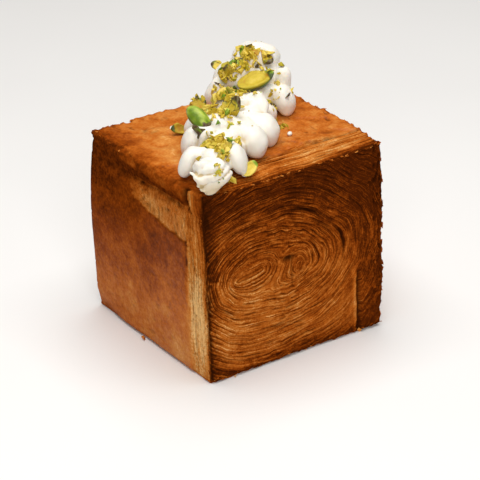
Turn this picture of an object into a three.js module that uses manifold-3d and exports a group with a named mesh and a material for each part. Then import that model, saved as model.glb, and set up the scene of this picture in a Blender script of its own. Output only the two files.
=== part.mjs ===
// Cube croissant: a roll of laminated dough baked in a square tin, with piped cream along the diagonal
// of its top and chopped pistachios on the cream. Millimetres, +Z up, origin at the middle of the base.
// The two rolled ends of the pastry face -Y and +Y, and the cream ends at the -X -Y corner.
import * as THREE from "three";
import { mergeVertices } from "three/addons/utils/BufferGeometryUtils.js";
import Module from "manifold-3d";

// Pastry block, X across the rolled ends, Y along the roll
const WIDTH = 72;
const DEPTH = 67;
const HEIGHT = 68;
const EDGE_RADIUS = 1.5;
const BULGE = 0.7; // how far the middle of each side stands out
const BASE_DRAW_IN = 0.5; // how far the base's edges draw in between its corners, where it rests
const BLOCK_CELLS = 10; // mesh cells along each side

// The block isn't quite square. Each upright edge is moved sideways in X at its base and its top, and
// bows out halfway up. The two ends are flat but lean, as Y changes by so much over each mm of X and Z.
const UPRIGHT_EDGES = [
  { x: -1, y: -1, base: 0.3, top: -0.6, bow: 0 },
  { x: 1, y: -1, base: -0.4, top: 0.6, bow: 1.3 },
  { x: -1, y: 1, base: 0.2, top: -1.1, bow: -1.0 },
  { x: 1, y: 1, base: -0.5, top: -0.4, bow: 0.6 },
];
const FRONT_END = { middle: -DEPTH / 2 - 0.5, perX: 0.025, perZ: 0.027 };
const BACK_END = { middle: DEPTH / 2, perX: -0.018, perZ: -0.057 };

// Crust: the top rolls off towards the -Y end, and overhangs the -X side as a lip
const ROLL_OFF_DROP = 2.2;
const ROLL_OFF_LENGTH = 11;
const LIP_OVERHANG = 1.3;
const LIP_HEIGHT = 2.6; // below the top
const LIP_SPREAD = 2.0;
const BAND_WIDTH = 10; // bare layers beside the -Y end, just below the browned skin
const BAND_DEPTH = 0.5;

// Rolled layers that stand out of the two end faces
const LAYER_PITCH = 4.2;
const LAYER_BASE = 3.8; // width of one layer where it leaves the block
const LAYER_PROUD = 1.2;
const LAYER_ROOT = 0.9; // how deep a layer sits in the block
const LAYER_LIFT = 0.6; // how far above the base the layers end
const LAYER_WAVE = 0.25; // how uneven its crest is
const LAYER_WAVES = [3, 0.37]; // waves and swells in one turn
const LAYER_TURNS = 8;
const LAYER_STEPS = 150;
const LAYER_STEP_EASE = 0.7; // below 1, so that the wider turns have more steps
const EYE = { x: -8, z: 34.5, halfLength: 10.5, radius: 1.8 };

// The outer sheet of dough ends in a flap low on the -Y end
const FLAP = { width: 9, height: 23, proud: 0.5, liftOff: 1.2, slant: 0.12 };

// Piped cream, in its own frame: +X up the line, +Y to its left, +Z up from the top of the pastry
const GAP = 0.3; // between pieces that touch
const LINE_ANGLE = Math.atan2(DEPTH, WIDTH);
const LOBE_SIDES = 10;
const LOBE_RINGS = 7;
const LOBE_LEAN = 0.35; // radians, tops towards the crest
const TIP = { x: -43.8, y: -1.6, z: 4.0, radius: [5.8, 6.8, 6.0] };
const CREST_LOBES = [
  { x: -34, z: 4.2, radius: [8.0, 6.4, 4.8] },
  { x: -22, z: 4.8, radius: [8.5, 8.0, 5.0] },
  { x: -9, z: 5.4, radius: [9.0, 9.4, 5.4] },
  { x: 1.5, z: 6.2, radius: [7.0, 9.0, 6.8] },
  { x: 11, z: 3.6, radius: [8.0, 8.0, 5.4] },
];
const SIDE_LOBES = [
  // the places along the line of a right and a left lobe, how far out they are, and their radii
  { right: -30.7, left: -36.5, out: 7.4, radius: [4.4, 3.0, 5.4] },
  { right: -16.7, left: -20, out: 9.8, radius: [5.4, 4.0, 6.0] },
  { right: -6, left: -8, out: 11.4, radius: [5.6, 4.2, 5.8] },
  { right: 19.7, left: 21, out: 12.0, radius: [4.8, 3.6, 5.8] },
];
const SIDE_LOBE_RISE = 4.9;
const MOUND_TIERS = [
  // the far mound, coil on coil
  { x: 25.5, y: -0.6, z: 4.6, radius: 11.8, height: 6.4 },
  { x: 27.5, y: 1.2, z: 10.6, radius: 11.2, height: 5.6 },
  { x: 30.5, y: 0.4, z: 15.6, radius: 8.2, height: 4.9 },
];
const MOUND_LOBES = 7;
const MOUND_LOBE_DEPTH = 0.08; // share of the tier's radius

// Pistachios, in the cream's frame. A kernel is an egg shape, whole or cut by planes.
const KERNEL_SIDES = 12;
const KERNEL_RINGS = 8;
const KERNEL_TAPER = 0.22; // how much slimmer the pointed end is
const KERNEL_CUTS = {
  // each cut is the way it faces, and how far it is from the middle as a share of the thickness
  whole: [],
  half: [{ facing: [0, 0, 1], offset: 0 }],
  end: [{ facing: [-0.95, 0.1, 0.3], offset: 0.11 }, { facing: [0.1, 0.2, 1], offset: 0.18 }],
  wedge: [{ facing: [0, 0.5, 0.85], offset: 0.06 }, { facing: [-0.5, -0.75, 0.4], offset: 0.18 }],
};
const PISTACHIOS = [
  // name, size [length, width, thickness], cut, place, long axis, way its face looks
  ["pistachio_half", [13, 8.4, 8.4], "half", [17.5, -2.4, 13.0], [5, -12.8, 4], [-0.4, 0.1, 0.9]],
  ["pistachio_green", [11.5, 6.4, 6.2], "whole", [-16.5, 8.6, 11.2], [-4, -8, -5.5], [-0.6, 0.2, 0.75]],
  ["pistachio_upright", [12.5, 7.2, 5.6], "wedge", [-10.5, 0, 12.0], [2, -3.5, 7.5], [-0.87, 0.3, 0.3]],
  ["pistachio_jutting", [8.5, 4.8, 4.4], "wedge", [27, 11.2, 12.4], [0.2, 1, 0.15], [-0.4, 0, 0.9]],
  ["pistachio_left", [8.5, 6.0, 6.0], "end", [-6.2, 12.4, 10.8], [0.6, -0.6, 0.5], [-0.8, 0, 0.6]],
  ["pistachio_far_left", [8.5, 6.4, 6.0], "end", [18.6, 7.4, 12.9], [0.5, 0.9, 0.3], [-0.8, 0.1, 0.6]],
  ["pistachio_top", [6.6, 4.6, 4.6], "end", [24.6, 1.8, 18.4], [0.4, 0.7, 0.3], [-0.8, 0, 0.6]],
  ["pistachio_top_right", [7.6, 5.0, 4.6], "wedge", [25.4, -3.8, 18.0], [-0.5, -0.9, -0.3], [-0.8, 0, 0.6]],
  ["pistachio_near", [13, 10.5, 7.5], "end", [-31, -0.8, 9.8], [-0.85, -0.35, -0.25], [-0.4, 0, 0.9]],
  ["pistachio_right_rest", [6.6, 4.8, 4.8], "half", [-31.4, -11.2, 2.2], [0.6, -0.5, 0.35], [-0.8, -0.3, 0.5]],
  ["pistachio_left_rest", [8, 4.6, 4.6], "wedge", [-3.6, 17.6, 2.2], [-0.2, 0.9, -0.1], [-0.6, 0.2, 0.8]],
];

// Chopped nuts too small to stand alone, stuck to the crest of the cream
const CHOPPED_COUNT = 36;
const CHOPPED_SIZE = [1.8, 3.4];
const CHOPPED_SPREAD = 5.0; // to each side of the crest, at most 1.5 times this
const CHOPPED_SUNK = 0.25; // how high a bit's middle lies, as a share of its least size
const CHOPPED_RUN = [-36, 28];
const RANDOM_SEED = 7;

const CRUST = { color: 0xa8642c, roughness: 0.55 };
const CREAM = { color: 0xfbf6ea, roughness: 0.5 };
const NUT_FLESH = { color: 0xd2b440, roughness: 0.6 };
const NUT_SKIN = { color: 0x6f8f2c, roughness: 0.6 };

const wasm = await Module();
wasm.setup();

// A closed geometry as a solid that can be joined and cut
function solidOf(geometry) {
  const bare = geometry.clone();
  bare.deleteAttribute("normal");
  bare.deleteAttribute("uv");
  const merged = mergeVertices(bare);
  return new wasm.Manifold(new wasm.Mesh({
    numProp: 3,
    vertProperties: Float32Array.from(merged.getAttribute("position").array),
    triVerts: Uint32Array.from(merged.index.array),
  }));
}

function geometryOf(solid) {
  const { vertProperties, triVerts } = solid.getMesh();
  const geometry = new THREE.BufferGeometry();
  geometry.setAttribute("position", new THREE.BufferAttribute(vertProperties, 3));
  geometry.setIndex(new THREE.BufferAttribute(triVerts, 1));
  geometry.computeVertexNormals();
  return geometry;
}

function joined(solids) {
  return solids.reduce((whole, solid) => whole.add(solid));
}

// The largest body of a solid, without the scraps that a cut leaves
function largest(solid) {
  return solid.decompose().reduce((best, body) => (body.volume() > best.volume() ? body : best));
}

// The same number sequence on every run, from 0 to 1
function seededRandom(seed) {
  let state = seed;
  return () => {
    state = (state * 16807) % 2147483647;
    return state / 2147483647;
  };
}

// How far a wall is moved in X, at a place given from -1 to 1 across, along and up
function wallShift(across, along, up) {
  return UPRIGHT_EDGES.reduce((shift, { x, y, base, top, bow }) => {
    const share = (1 + x * across) * (1 + y * along) / 4;
    return shift + share * (THREE.MathUtils.lerp(base, top, (1 + up) / 2) + bow * (1 - up ** 2));
  }, 0);
}

const endAt = ({ middle, perX, perZ }, x, z) => middle + perX * x + perZ * (z - HEIGHT / 2);
const bell = (distance, spread) => Math.exp(-((distance / spread) ** 2));

// One point of the block's skin, from a point of a cube that reaches from -1 to 1. The ends may be
// drawn in or out.
function crustPoint(cube, drawOut) {
  const half = new THREE.Vector3(WIDTH / 2, DEPTH / 2, HEIGHT / 2);
  const spread = cube.clone();
  for (const axis of ["x", "y", "z"]) spread[axis] = Math.sin(cube[axis] * Math.PI / 2);
  const flat = spread.clone().multiply(half);
  const reach = half.clone().subScalar(EDGE_RADIUS);
  const core = flat.clone().clamp(reach.clone().negate(), reach);
  const point = core.add(flat.clone().sub(core).setLength(EDGE_RADIUS));

  const bulge = Math.abs(cube.x) === 1 ? BULGE * (1 - spread.y ** 2) * (1 - spread.z ** 2) : 0;
  point.x += cube.x * bulge + wallShift(spread.x, spread.y, spread.z);
  point.z += half.z;
  const front = endAt(FRONT_END, point.x, point.z) - drawOut;
  const back = endAt(BACK_END, point.x, point.z) + drawOut;
  const fromEnd = (1 + spread.y) * half.y;
  point.y = THREE.MathUtils.mapLinear(point.y, -half.y, half.y, front, back);

  if (cube.z === -1) {
    point.x -= BASE_DRAW_IN * spread.x * (1 - spread.y ** 2);
    point.y -= BASE_DRAW_IN * spread.y * (1 - spread.x ** 2);
  }
  if (cube.z === 1) {
    const rollOff = Math.max(0, 1 - fromEnd / ROLL_OFF_LENGTH) ** 2;
    point.z -= ROLL_OFF_DROP * rollOff * (1 - spread.x ** 2);
  }
  if (cube.x === -1) {
    point.x -= LIP_OVERHANG * bell(HEIGHT - point.z - LIP_HEIGHT, LIP_SPREAD) * (1 - spread.y ** 4);
    if (fromEnd < BAND_WIDTH && fromEnd > EDGE_RADIUS) point.x += BAND_DEPTH;
  }
  return point;
}

function block(drawOut) {
  const box = new THREE.BoxGeometry(2, 2, 2, BLOCK_CELLS, BLOCK_CELLS, BLOCK_CELLS);
  const position = box.getAttribute("position");
  const cube = new THREE.Vector3();
  for (let i = 0; i < position.count; i++) {
    const { x, y, z } = crustPoint(cube.fromBufferAttribute(position, i), drawOut);
    position.setXYZ(i, x, y, z);
  }
  return solidOf(box);
}

// The edge of the rolled sheet on one end face: a flattened spiral that follows the face
class RolledEdge extends THREE.Curve {
  constructor(end) {
    super();
    this.end = end;
  }

  getPoint(t, target = new THREE.Vector3()) {
    const angle = 2 * Math.PI * LAYER_TURNS * t ** LAYER_STEP_EASE;
    const radius = EYE.radius + LAYER_PITCH * angle / (2 * Math.PI);
    const x = EYE.x + (radius + EYE.halfLength) * Math.cos(angle);
    const z = EYE.z + radius * Math.sin(angle);
    const face = endAt(this.end < 0 ? FRONT_END : BACK_END, x, z);
    const wave = LAYER_WAVES.reduce((height, waves) => height * Math.sin(waves * angle), LAYER_WAVE);
    return target.set(x, face + this.end * (wave - LAYER_PROUD), z);
  }

  // Equal steps of the parameter instead of equal lengths
  getUtoTmapping(u) {
    return u;
  }
}

function rolledLayers(end) {
  const section = new THREE.Shape([
    new THREE.Vector2(end * LAYER_ROOT, -LAYER_BASE / 2),
    new THREE.Vector2(end * LAYER_ROOT, LAYER_BASE / 2),
    new THREE.Vector2(-end * LAYER_PROUD, 0),
  ]);
  return solidOf(new THREE.ExtrudeGeometry(section, {
    steps: LAYER_STEPS,
    extrudePath: new RolledEdge(end),
  }));
}

// The free end of the outer sheet, at the lower right of the -Y end
function flap() {
  const plate = new THREE.BoxGeometry(FLAP.width, FLAP.proud + LAYER_ROOT, FLAP.height);
  plate.rotateZ(FLAP.slant);
  const x = (WIDTH - FLAP.width) / 2;
  const z = FLAP.height / 2 + FLAP.liftOff;
  plate.translate(x, endAt(FRONT_END, x, z) - FLAP.proud / 2 + LAYER_ROOT / 2, z);
  return solidOf(plate);
}

function pastrySolid() {
  const core = block(-LAYER_PROUD);
  const outline = block(LAYER_WAVE).intersect(halfSpace(new THREE.Vector3(0, 0, -1), -LAYER_LIFT));
  const ends = [rolledLayers(-1), rolledLayers(1)].map((layers) => layers.intersect(outline));
  return largest(joined([core, ...ends, flap()]));
}

// An egg-shaped lobe of cream, leaning about the line's direction
function lobe(x, y, z, radius, lean = 0) {
  const ball = new THREE.SphereGeometry(1, LOBE_SIDES, LOBE_RINGS);
  ball.rotateX(Math.PI / 2);
  ball.scale(...radius);
  ball.rotateX(lean);
  ball.translate(x, y, z);
  return solidOf(ball);
}

// One coil of the far mound, with the star nozzle's lobes round it
function moundTier({ x, y, z, radius, height }, turn) {
  const ball = new THREE.SphereGeometry(1, 2 * LOBE_SIDES, LOBE_RINGS);
  ball.rotateX(Math.PI / 2);
  const position = ball.getAttribute("position");
  const point = new THREE.Vector3();
  for (let i = 0; i < position.count; i++) {
    point.fromBufferAttribute(position, i);
    const angle = Math.atan2(point.y, point.x);
    const ripple = 1 + MOUND_LOBE_DEPTH * Math.cos(MOUND_LOBES * angle + turn);
    position.setXYZ(i, point.x * radius * ripple, point.y * radius * ripple, point.z * height);
  }
  ball.translate(x, y, z);
  return solidOf(ball);
}

function pipedCream() {
  const lobes = [TIP, ...CREST_LOBES].map(({ x, y = 0, z, radius }) => lobe(x, y, z, radius));
  for (const { right, left, out, radius } of SIDE_LOBES) {
    lobes.push(lobe(right, -out, SIDE_LOBE_RISE, radius, -LOBE_LEAN));
    lobes.push(lobe(left, out, SIDE_LOBE_RISE, radius, LOBE_LEAN));
  }
  MOUND_TIERS.forEach((tier, i) => lobes.push(moundTier(tier, i)));
  return joined(lobes);
}

// Everything behind a plane, given by the way it faces and its distance from the origin, as a large box
function halfSpace(normal, offset) {
  const side = 4 * WIDTH;
  const box = new THREE.BoxGeometry(side, side, side);
  box.translate(0, 0, -side / 2);
  const turn = new THREE.Quaternion().setFromUnitVectors(new THREE.Vector3(0, 0, 1), normal);
  box.applyQuaternion(turn);
  box.translate(normal.x * offset, normal.y * offset, normal.z * offset);
  return solidOf(box);
}

// A kernel along X, with its face to +Z, cut as it was chopped
function kernel([length, width, thickness], cut) {
  const egg = new THREE.SphereGeometry(0.5, KERNEL_SIDES, KERNEL_RINGS);
  egg.rotateZ(-Math.PI / 2);
  const position = egg.getAttribute("position");
  const point = new THREE.Vector3();
  for (let i = 0; i < position.count; i++) {
    point.fromBufferAttribute(position, i);
    const slim = 1 - KERNEL_TAPER * (1 + 2 * point.x) / 2;
    position.setXYZ(i, point.x * length, point.y * width * slim, point.z * thickness * slim);
  }
  return KERNEL_CUTS[cut].reduce((whole, { facing, offset }) => (
    whole.intersect(halfSpace(new THREE.Vector3(...facing).normalize(), offset * thickness))
  ), solidOf(egg));
}

// The turn that lays a kernel's length along one direction with its face looking another way
function layAlong(direction, facing) {
  const length = new THREE.Vector3(...direction).normalize();
  const side = new THREE.Vector3(...facing).cross(length).normalize();
  const face = length.clone().cross(side);
  return new THREE.Matrix4().makeBasis(length, side, face);
}

// A slightly larger copy of a kernel, for the hollow that it leaves in the cream
function hollowFor(solid, place) {
  const { min, max } = solid.boundingBox();
  const grown = [0, 1, 2].map((axis) => 1 + 2 * GAP / (max[axis] - min[axis]));
  const middle = [0, 1, 2].map((axis) => (max[axis] + min[axis]) / 2);
  const centred = solid.translate(middle.map((value) => -value)).scale(grown).translate(middle);
  return centred.transform(place.toArray());
}

// Chopped bits that lie where a plumb line meets the cream
function choppedNuts(cream) {
  const random = seededRandom(RANDOM_SEED);
  const surface = new THREE.Mesh(geometryOf(cream));
  const plumb = new THREE.Raycaster();
  const bits = [];
  for (let i = 0; i < CHOPPED_COUNT; i++) {
    const x = THREE.MathUtils.lerp(...CHOPPED_RUN, (i + random()) / CHOPPED_COUNT);
    const y = CHOPPED_SPREAD * (random() + random() + random() - 1.5);
    const size = [0, 1, 2].map(() => THREE.MathUtils.lerp(...CHOPPED_SIZE, random()));
    const turn = new THREE.Euler(random() * Math.PI, random() * Math.PI, random() * Math.PI);
    plumb.set(new THREE.Vector3(x, y, HEIGHT), new THREE.Vector3(0, 0, -1));
    const [hit] = plumb.intersectObject(surface);
    if (!hit) continue;
    const bit = new THREE.OctahedronGeometry(0.5);
    bit.scale(...size);
    bit.applyQuaternion(new THREE.Quaternion().setFromEuler(turn));
    bit.translate(x, y, hit.point.z + CHOPPED_SUNK * Math.min(...size));
    bits.push(solidOf(bit));
  }
  return bits;
}

function named(name, solid, finish) {
  const material = new THREE.MeshStandardMaterial({ ...finish, metalness: 0 });
  const mesh = new THREE.Mesh(geometryOf(solid), material);
  mesh.name = name;
  return mesh;
}

const croissant = new THREE.Group();
croissant.add(named("pastry", pastrySolid(), CRUST));

const topping = new THREE.Group();
topping.position.set(0, 0, HEIGHT + GAP);
topping.rotation.z = LINE_ANGLE;

const bareCream = pipedCream().intersect(halfSpace(new THREE.Vector3(0, 0, -1), 0));
const hollows = [];
for (const [name, size, cut, at, direction, facing] of PISTACHIOS) {
  const solid = kernel(size, cut);
  const mesh = named(name, solid, name === "pistachio_green" ? NUT_SKIN : NUT_FLESH);
  const place = layAlong(direction, facing).setPosition(...at);
  mesh.applyMatrix4(place);
  topping.add(mesh);
  hollows.push(hollowFor(solid, place));
}
const cream = joined([bareCream, ...choppedNuts(bareCream)]).subtract(joined(hollows));
topping.add(named("cream", largest(cream), CREAM));
croissant.add(topping);

// The middle of the whole outline stands on the origin
const middle = new THREE.Box3().setFromObject(croissant, true).getCenter(new THREE.Vector3());
croissant.position.set(-middle.x, -middle.y, 0);

export default croissant;
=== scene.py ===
import math
from itertools import product

import bmesh
import bpy
import numpy as np
from bpy.props import FloatProperty, FloatVectorProperty, IntProperty, PointerProperty
from mathutils import Euler, Matrix, Vector
from mathutils.bvhtree import BVHTree


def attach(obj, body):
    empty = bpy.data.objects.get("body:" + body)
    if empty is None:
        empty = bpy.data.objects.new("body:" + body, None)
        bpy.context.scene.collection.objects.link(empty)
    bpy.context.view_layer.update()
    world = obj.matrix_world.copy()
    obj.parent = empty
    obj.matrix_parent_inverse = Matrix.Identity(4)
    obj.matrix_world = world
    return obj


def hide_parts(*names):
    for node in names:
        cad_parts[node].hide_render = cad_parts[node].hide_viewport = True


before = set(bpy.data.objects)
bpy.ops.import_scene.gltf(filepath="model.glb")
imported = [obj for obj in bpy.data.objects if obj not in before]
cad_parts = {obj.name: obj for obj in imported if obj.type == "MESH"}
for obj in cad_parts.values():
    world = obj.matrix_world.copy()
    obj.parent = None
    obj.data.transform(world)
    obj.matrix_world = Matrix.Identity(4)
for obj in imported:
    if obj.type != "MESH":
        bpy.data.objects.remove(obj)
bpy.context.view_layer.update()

bl_info = {
    "name": "Cube Croissant",
    "version": (1, 0, 0),
    "blender": (4, 5, 0),
    "location": "3D View > Sidebar > Croissant",
    "description": "Laminated pastry cube with piped cream and chopped pistachios",
    "category": "Add Mesh",
}

MM = 0.001

# Pastry block in mm, as in the solid: X across the rolled ends, Y along the roll, +Z up
WIDTH, DEPTH, HEIGHT = 72.0, 67.0, 68.0
CENTRE_SHIFT = (0.225, 0.636, 0.0)  # puts the middle of the whole outline on the origin
EDGE_RADIUS = 1.5
BULGE = 0.7
BASE_DRAW_IN = 0.5
UPRIGHT_EDGES = (
    # side in X, side in Y, sideways shift at the base and at the top, and how far it bows
    (-1, -1, 0.3, -0.6, 0.0),
    (1, -1, -0.4, 0.6, 1.3),
    (-1, 1, 0.2, -1.1, -1.0),
    (1, 1, -0.5, -0.4, 0.6),
)
FRONT_END = (-DEPTH / 2 - 0.5, 0.025, 0.027)  # Y in the middle, and its change for each mm of X and Z
BACK_END = (DEPTH / 2, -0.018, -0.057)
ROLL_OFF_DROP, ROLL_OFF_LENGTH = 2.2, 11.0
LIP_OVERHANG, LIP_HEIGHT, LIP_SPREAD = 1.3, 2.6, 2.0
LIP_START = (7.5, 10.5)  # the lip comes up between these distances from the -Y end
BAND_WIDTH, BAND_DEPTH = 10.0, 0.5
TOP_BAND_WIDTH = 12.5
SIDE_LAYER, TOP_LAYER = 1.15, 1.2  # from one bare layer to the next
END_GROOVE, SIDE_GROOVE, TOP_GROOVE = 0.16, 0.18, 0.2  # how wide the gap between layers is, in layers
FLAKE_RUN = (0.83, -0.56)  # the way the flakes of the top run, in X and Y
CELL_STRETCH = 2.6  # how much longer the mesh cells are along the roll than across it
EVEN_CELLS = 0.35  # the share of even spacing along the roll. The rest gets finer towards the -Y end

# Rolled layers on the two ends
TURN_PITCH = 4.2  # from one turn of the roll to the next
LAYERS_PER_TURN = 3
EYE_X, EYE_Z, EYE_HALF_LENGTH, EYE_RADIUS = -8.0, 34.5, 10.5, 1.8
CORE_EYES = (
    # the two small folds at the heart of the roll, each as a line from one place to another
    ((-24.0, 34.0), (-14.0, 35.4)),
    ((-0.6, 20.5), (1.4, 32.4)),
)
CORE_REACH = (3.0, 9.0)  # where the two folds give way to the common rings
CORE_BLEND = 1.5  # how softly the two folds meet
RADIUS_STEPS = 24  # halvings on the way to the radius of a flat ring
ROLL_WAVES = (
    # waves of the layers: size, reach and first seed
    (12, 1.1, 0),
    (4.5, 0.35, 1),
    (1.9, 0.18, 15),
)
NOTCH_X, NOTCH_Z = -2.2, 36.3  # where the sheet starts
LAYER_GAPS = (
    # places where layers have parted: x, z, half length along the layer in radians, depth
    (6.0, 51.6, 0.30, 1.5),
    (19.7, 37.5, 0.26, 1.0),
    (-19.0, 51.0, 0.22, 0.4),
    (12.5, 45.0, 0.25, 0.4),
    (11.0, 57.5, 0.30, 0.45),
    (20.5, 22.0, 0.22, 0.45),
    (-8.0, 13.5, 0.16, 0.45),
    (-26.0, 24.0, 0.12, 0.35),
    (26.5, 47.0, 0.20, 0.5),
)
FLAP_LEFT, FLAP_TOP, FLAP_PROUD = 27.0, 24.0, 0.5

# The torn edge of the skin on the -X side, as heights at places along Y
CREASE_Y = (-22.8, -14.1, -4.7, 6.0, 12.7)
CREASE_Z = (48.3, 49.0, 51.0, 53.0, 64.0)

# Topping frame in mm: +X up the line of cream, +Y to its left, +Z up from the top of the pastry
GAP = 0.3
LINE_ANGLE = math.atan2(DEPTH, WIDTH)
LOBE_LEAN = 0.35
CREST_LOBES = (
    # x, y, z and the three radii
    (-43.8, -1.8, 4.0, (5.8, 6.4, 6.0)),
    (-34.0, 0.0, 4.2, (8.0, 6.4, 4.8)),
    (-22.0, 0.0, 4.8, (8.5, 8.0, 5.0)),
    (-9.0, 0.0, 5.4, (9.0, 9.4, 5.4)),
    (1.5, 0.0, 6.2, (7.0, 9.0, 6.8)),
    (11.0, 0.0, 3.6, (8.0, 8.0, 5.4)),
)
SIDE_LOBES = (
    # the places along the line of a right and a left lobe, how far out they are, and their radii
    (-30.7, -36.5, 7.4, (4.4, 3.0, 5.4)),
    (-16.7, -20.0, 9.8, (5.4, 4.0, 6.0)),
    (-6.0, -8.0, 11.4, (5.6, 4.2, 5.8)),
    (19.7, 21.0, 12.0, (4.8, 3.6, 5.8)),
)
NECK_STEPS = 4
NECK_RISE, NECK_IN, NECK_TAPER = 2.8, 0.6, 0.52  # of a lobe's neck, on its way up to the crest
SIDE_LOBE_RISE = 4.9
MOUND_TIERS = (
    # x, y, z, radius and half height of each coil of the far mound
    (25.5, -0.6, 4.6, 11.8, 6.4),
    (27.5, 1.2, 10.6, 11.2, 5.6),
    (30.5, 0.4, 15.6, 8.2, 4.9),
)
MOUND_LOBES, MOUND_LOBE_DEPTH = 7, 0.05
FOLDS = (
    # small peaks and torn folds of the cream: x, y, z, the three radii, and the turns about X and Y
    (-37.6, -0.3, 8.0, (3.2, 3.2, 2.4), 0.0, 0.0),
    (-45.6, 0.8, 8.2, (1.8, 2.4, 2.6), 0.0, 0.0),
    (-48.6, 1.2, 5.2, (1.3, 3.6, 0.9), 0.55, 0.0),
    (-48.9, -2.4, 4.0, (1.2, 3.4, 0.8), -0.35, 0.0),
    (-48.6, 0.6, 1.8, (1.4, 2.6, 0.8), 0.3, 0.0),
    (-44.4, -5.2, 5.4, (2.6, 2.4, 3.0), 0.0, 0.0),
    (-27.6, 4.6, 8.4, (1.7, 1.6, 4.2), 0.25, 0.0),
    (-18.4, 1.6, 9.6, (2.8, 2.7, 2.8), 0.0, 0.0),
    (-13.6, 4.2, 8.8, (3.8, 3.6, 3.2), 0.2, 0.0),
    (-20.0, -3.6, 7.4, (4.2, 2.8, 3.2), -0.2, 0.0),
    (-0.5, -6.0, 9.6, (7.0, 4.6, 2.4), 0.1, -0.5),
    (9.6, -8.4, 4.0, (4.0, 3.4, 4.2), -0.2, 0.0),
    (24.0, -10.6, 11.2, (3.2, 2.8, 4.6), 0.0, 0.0),
    (26.0, 9.6, 9.0, (5.0, 4.4, 6.0), 0.35, 0.0),
    (21.6, 3.4, 12.6, (2.0, 1.2, 4.2), 0.0, 0.0),
    (-0.1, 22.5, 0.2, (1.7, 1.1, 1.0), 0.0, 0.0),
    (2.7, -17.4, 0.2, (1.3, 1.0, 0.9), 0.0, 0.0),
)
CREAM_SUNK = 0.8  # how far the cream reaches into the crust
TIP_ALONG, TIP_ACROSS = (-37.5, -41.0), (6.0, 4.0)  # where the ragged near tip begins, each way
TIP_MIDDLE, TIP_NARROWING = -1.6, 0.5  # where the near tip ends across the line, and how much it narrows
NUT_COVER = 1.5  # cream that would lie this high on a nut is pressed under it

# Pistachio pieces in the topping's frame
KERNEL_TAPER = 0.22
KERNEL_CUTS = {
    # each cut is the way it faces, and its distance from the middle as a share of the thickness
    "whole": (),
    "half": (((0, 0, 1), 0.0),),
    "end": (((-0.95, 0.1, 0.3), 0.11), ((0.1, 0.2, 1), 0.18)),
    "wedge": (((0, 0.5, 0.85), 0.06), ((-0.5, -0.75, 0.4), 0.18)),
}
PISTACHIOS = (
    # node, size, cut, place, long axis, way its face looks
    ("pistachio_half", (13, 8.4, 8.4), "half", (17.5, -2.4, 13.0), (5, -12.8, 4), (-0.4, 0.1, 0.9)),
    ("pistachio_green", (11.5, 6.4, 6.2), "whole", (-16.5, 8.6, 11.2), (-4, -8, -5.5), (-0.6, 0.2, 0.75)),
    ("pistachio_upright", (12.5, 7.2, 5.6), "wedge", (-10.5, 0, 12.0), (2, -3.5, 7.5), (-0.87, 0.3, 0.3)),
    ("pistachio_jutting", (8.5, 4.8, 4.4), "wedge", (27, 11.2, 12.4), (0.2, 1, 0.15), (-0.4, 0, 0.9)),
    ("pistachio_left", (8.5, 6.0, 6.0), "end", (-6.2, 12.4, 10.8), (0.6, -0.6, 0.5), (-0.8, 0, 0.6)),
    ("pistachio_far_left", (8.5, 6.4, 6.0), "end", (18.6, 7.4, 12.9), (0.5, 0.9, 0.3), (-0.8, 0.1, 0.6)),
    ("pistachio_top", (6.6, 4.6, 4.6), "end", (24.6, 1.8, 18.4), (0.4, 0.7, 0.3), (-0.8, 0, 0.6)),
    ("pistachio_top_right", (7.6, 5.0, 4.6), "wedge", (25.4, -3.8, 18.0), (-0.5, -0.9, -0.3),
     (-0.8, 0, 0.6)),
    ("pistachio_near", (13, 10.5, 7.5), "end", (-31, -0.8, 9.8), (-0.85, -0.35, -0.25), (-0.4, 0, 0.9)),
    ("pistachio_right_rest", (6.6, 4.8, 4.8), "half", (-31.4, -11.2, 2.2), (0.6, -0.5, 0.35),
     (-0.8, -0.3, 0.5)),
    ("pistachio_left_rest", (8, 4.6, 4.6), "wedge", (-3.6, 17.6, 2.2), (-0.2, 0.9, -0.1), (-0.6, 0.2, 0.8)),
)
NUT_LOOKS = {
    # how brown its skin is, its crumbliness in mm, how pale its flesh is, and how green
    "pistachio_half": (0.6, 0.15, 0.62, 0.12),
    "pistachio_green": (0.6, 0.1, 0.5, 0.0),
    "pistachio_upright": (0.85, 0.3, 0.7, 0.05),
    "pistachio_jutting": (0.8, 0.3, 0.75, 0.0),
    "pistachio_left": (0.3, 0.5, 0.1, 0.2),
    "pistachio_far_left": (0.2, 0.5, 0.8, 0.25),
    "pistachio_top": (0.3, 0.4, 0.65, 0.15),
    "pistachio_top_right": (0.8, 0.4, 0.35, 0.0),
    "pistachio_near": (0.1, 1.2, 0.85, 0.15),
    "pistachio_right_rest": (0.1, 0.15, 0.85, 0.08),
    "pistachio_left_rest": (0.15, 0.3, 0.5, 0.0),
}

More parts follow.
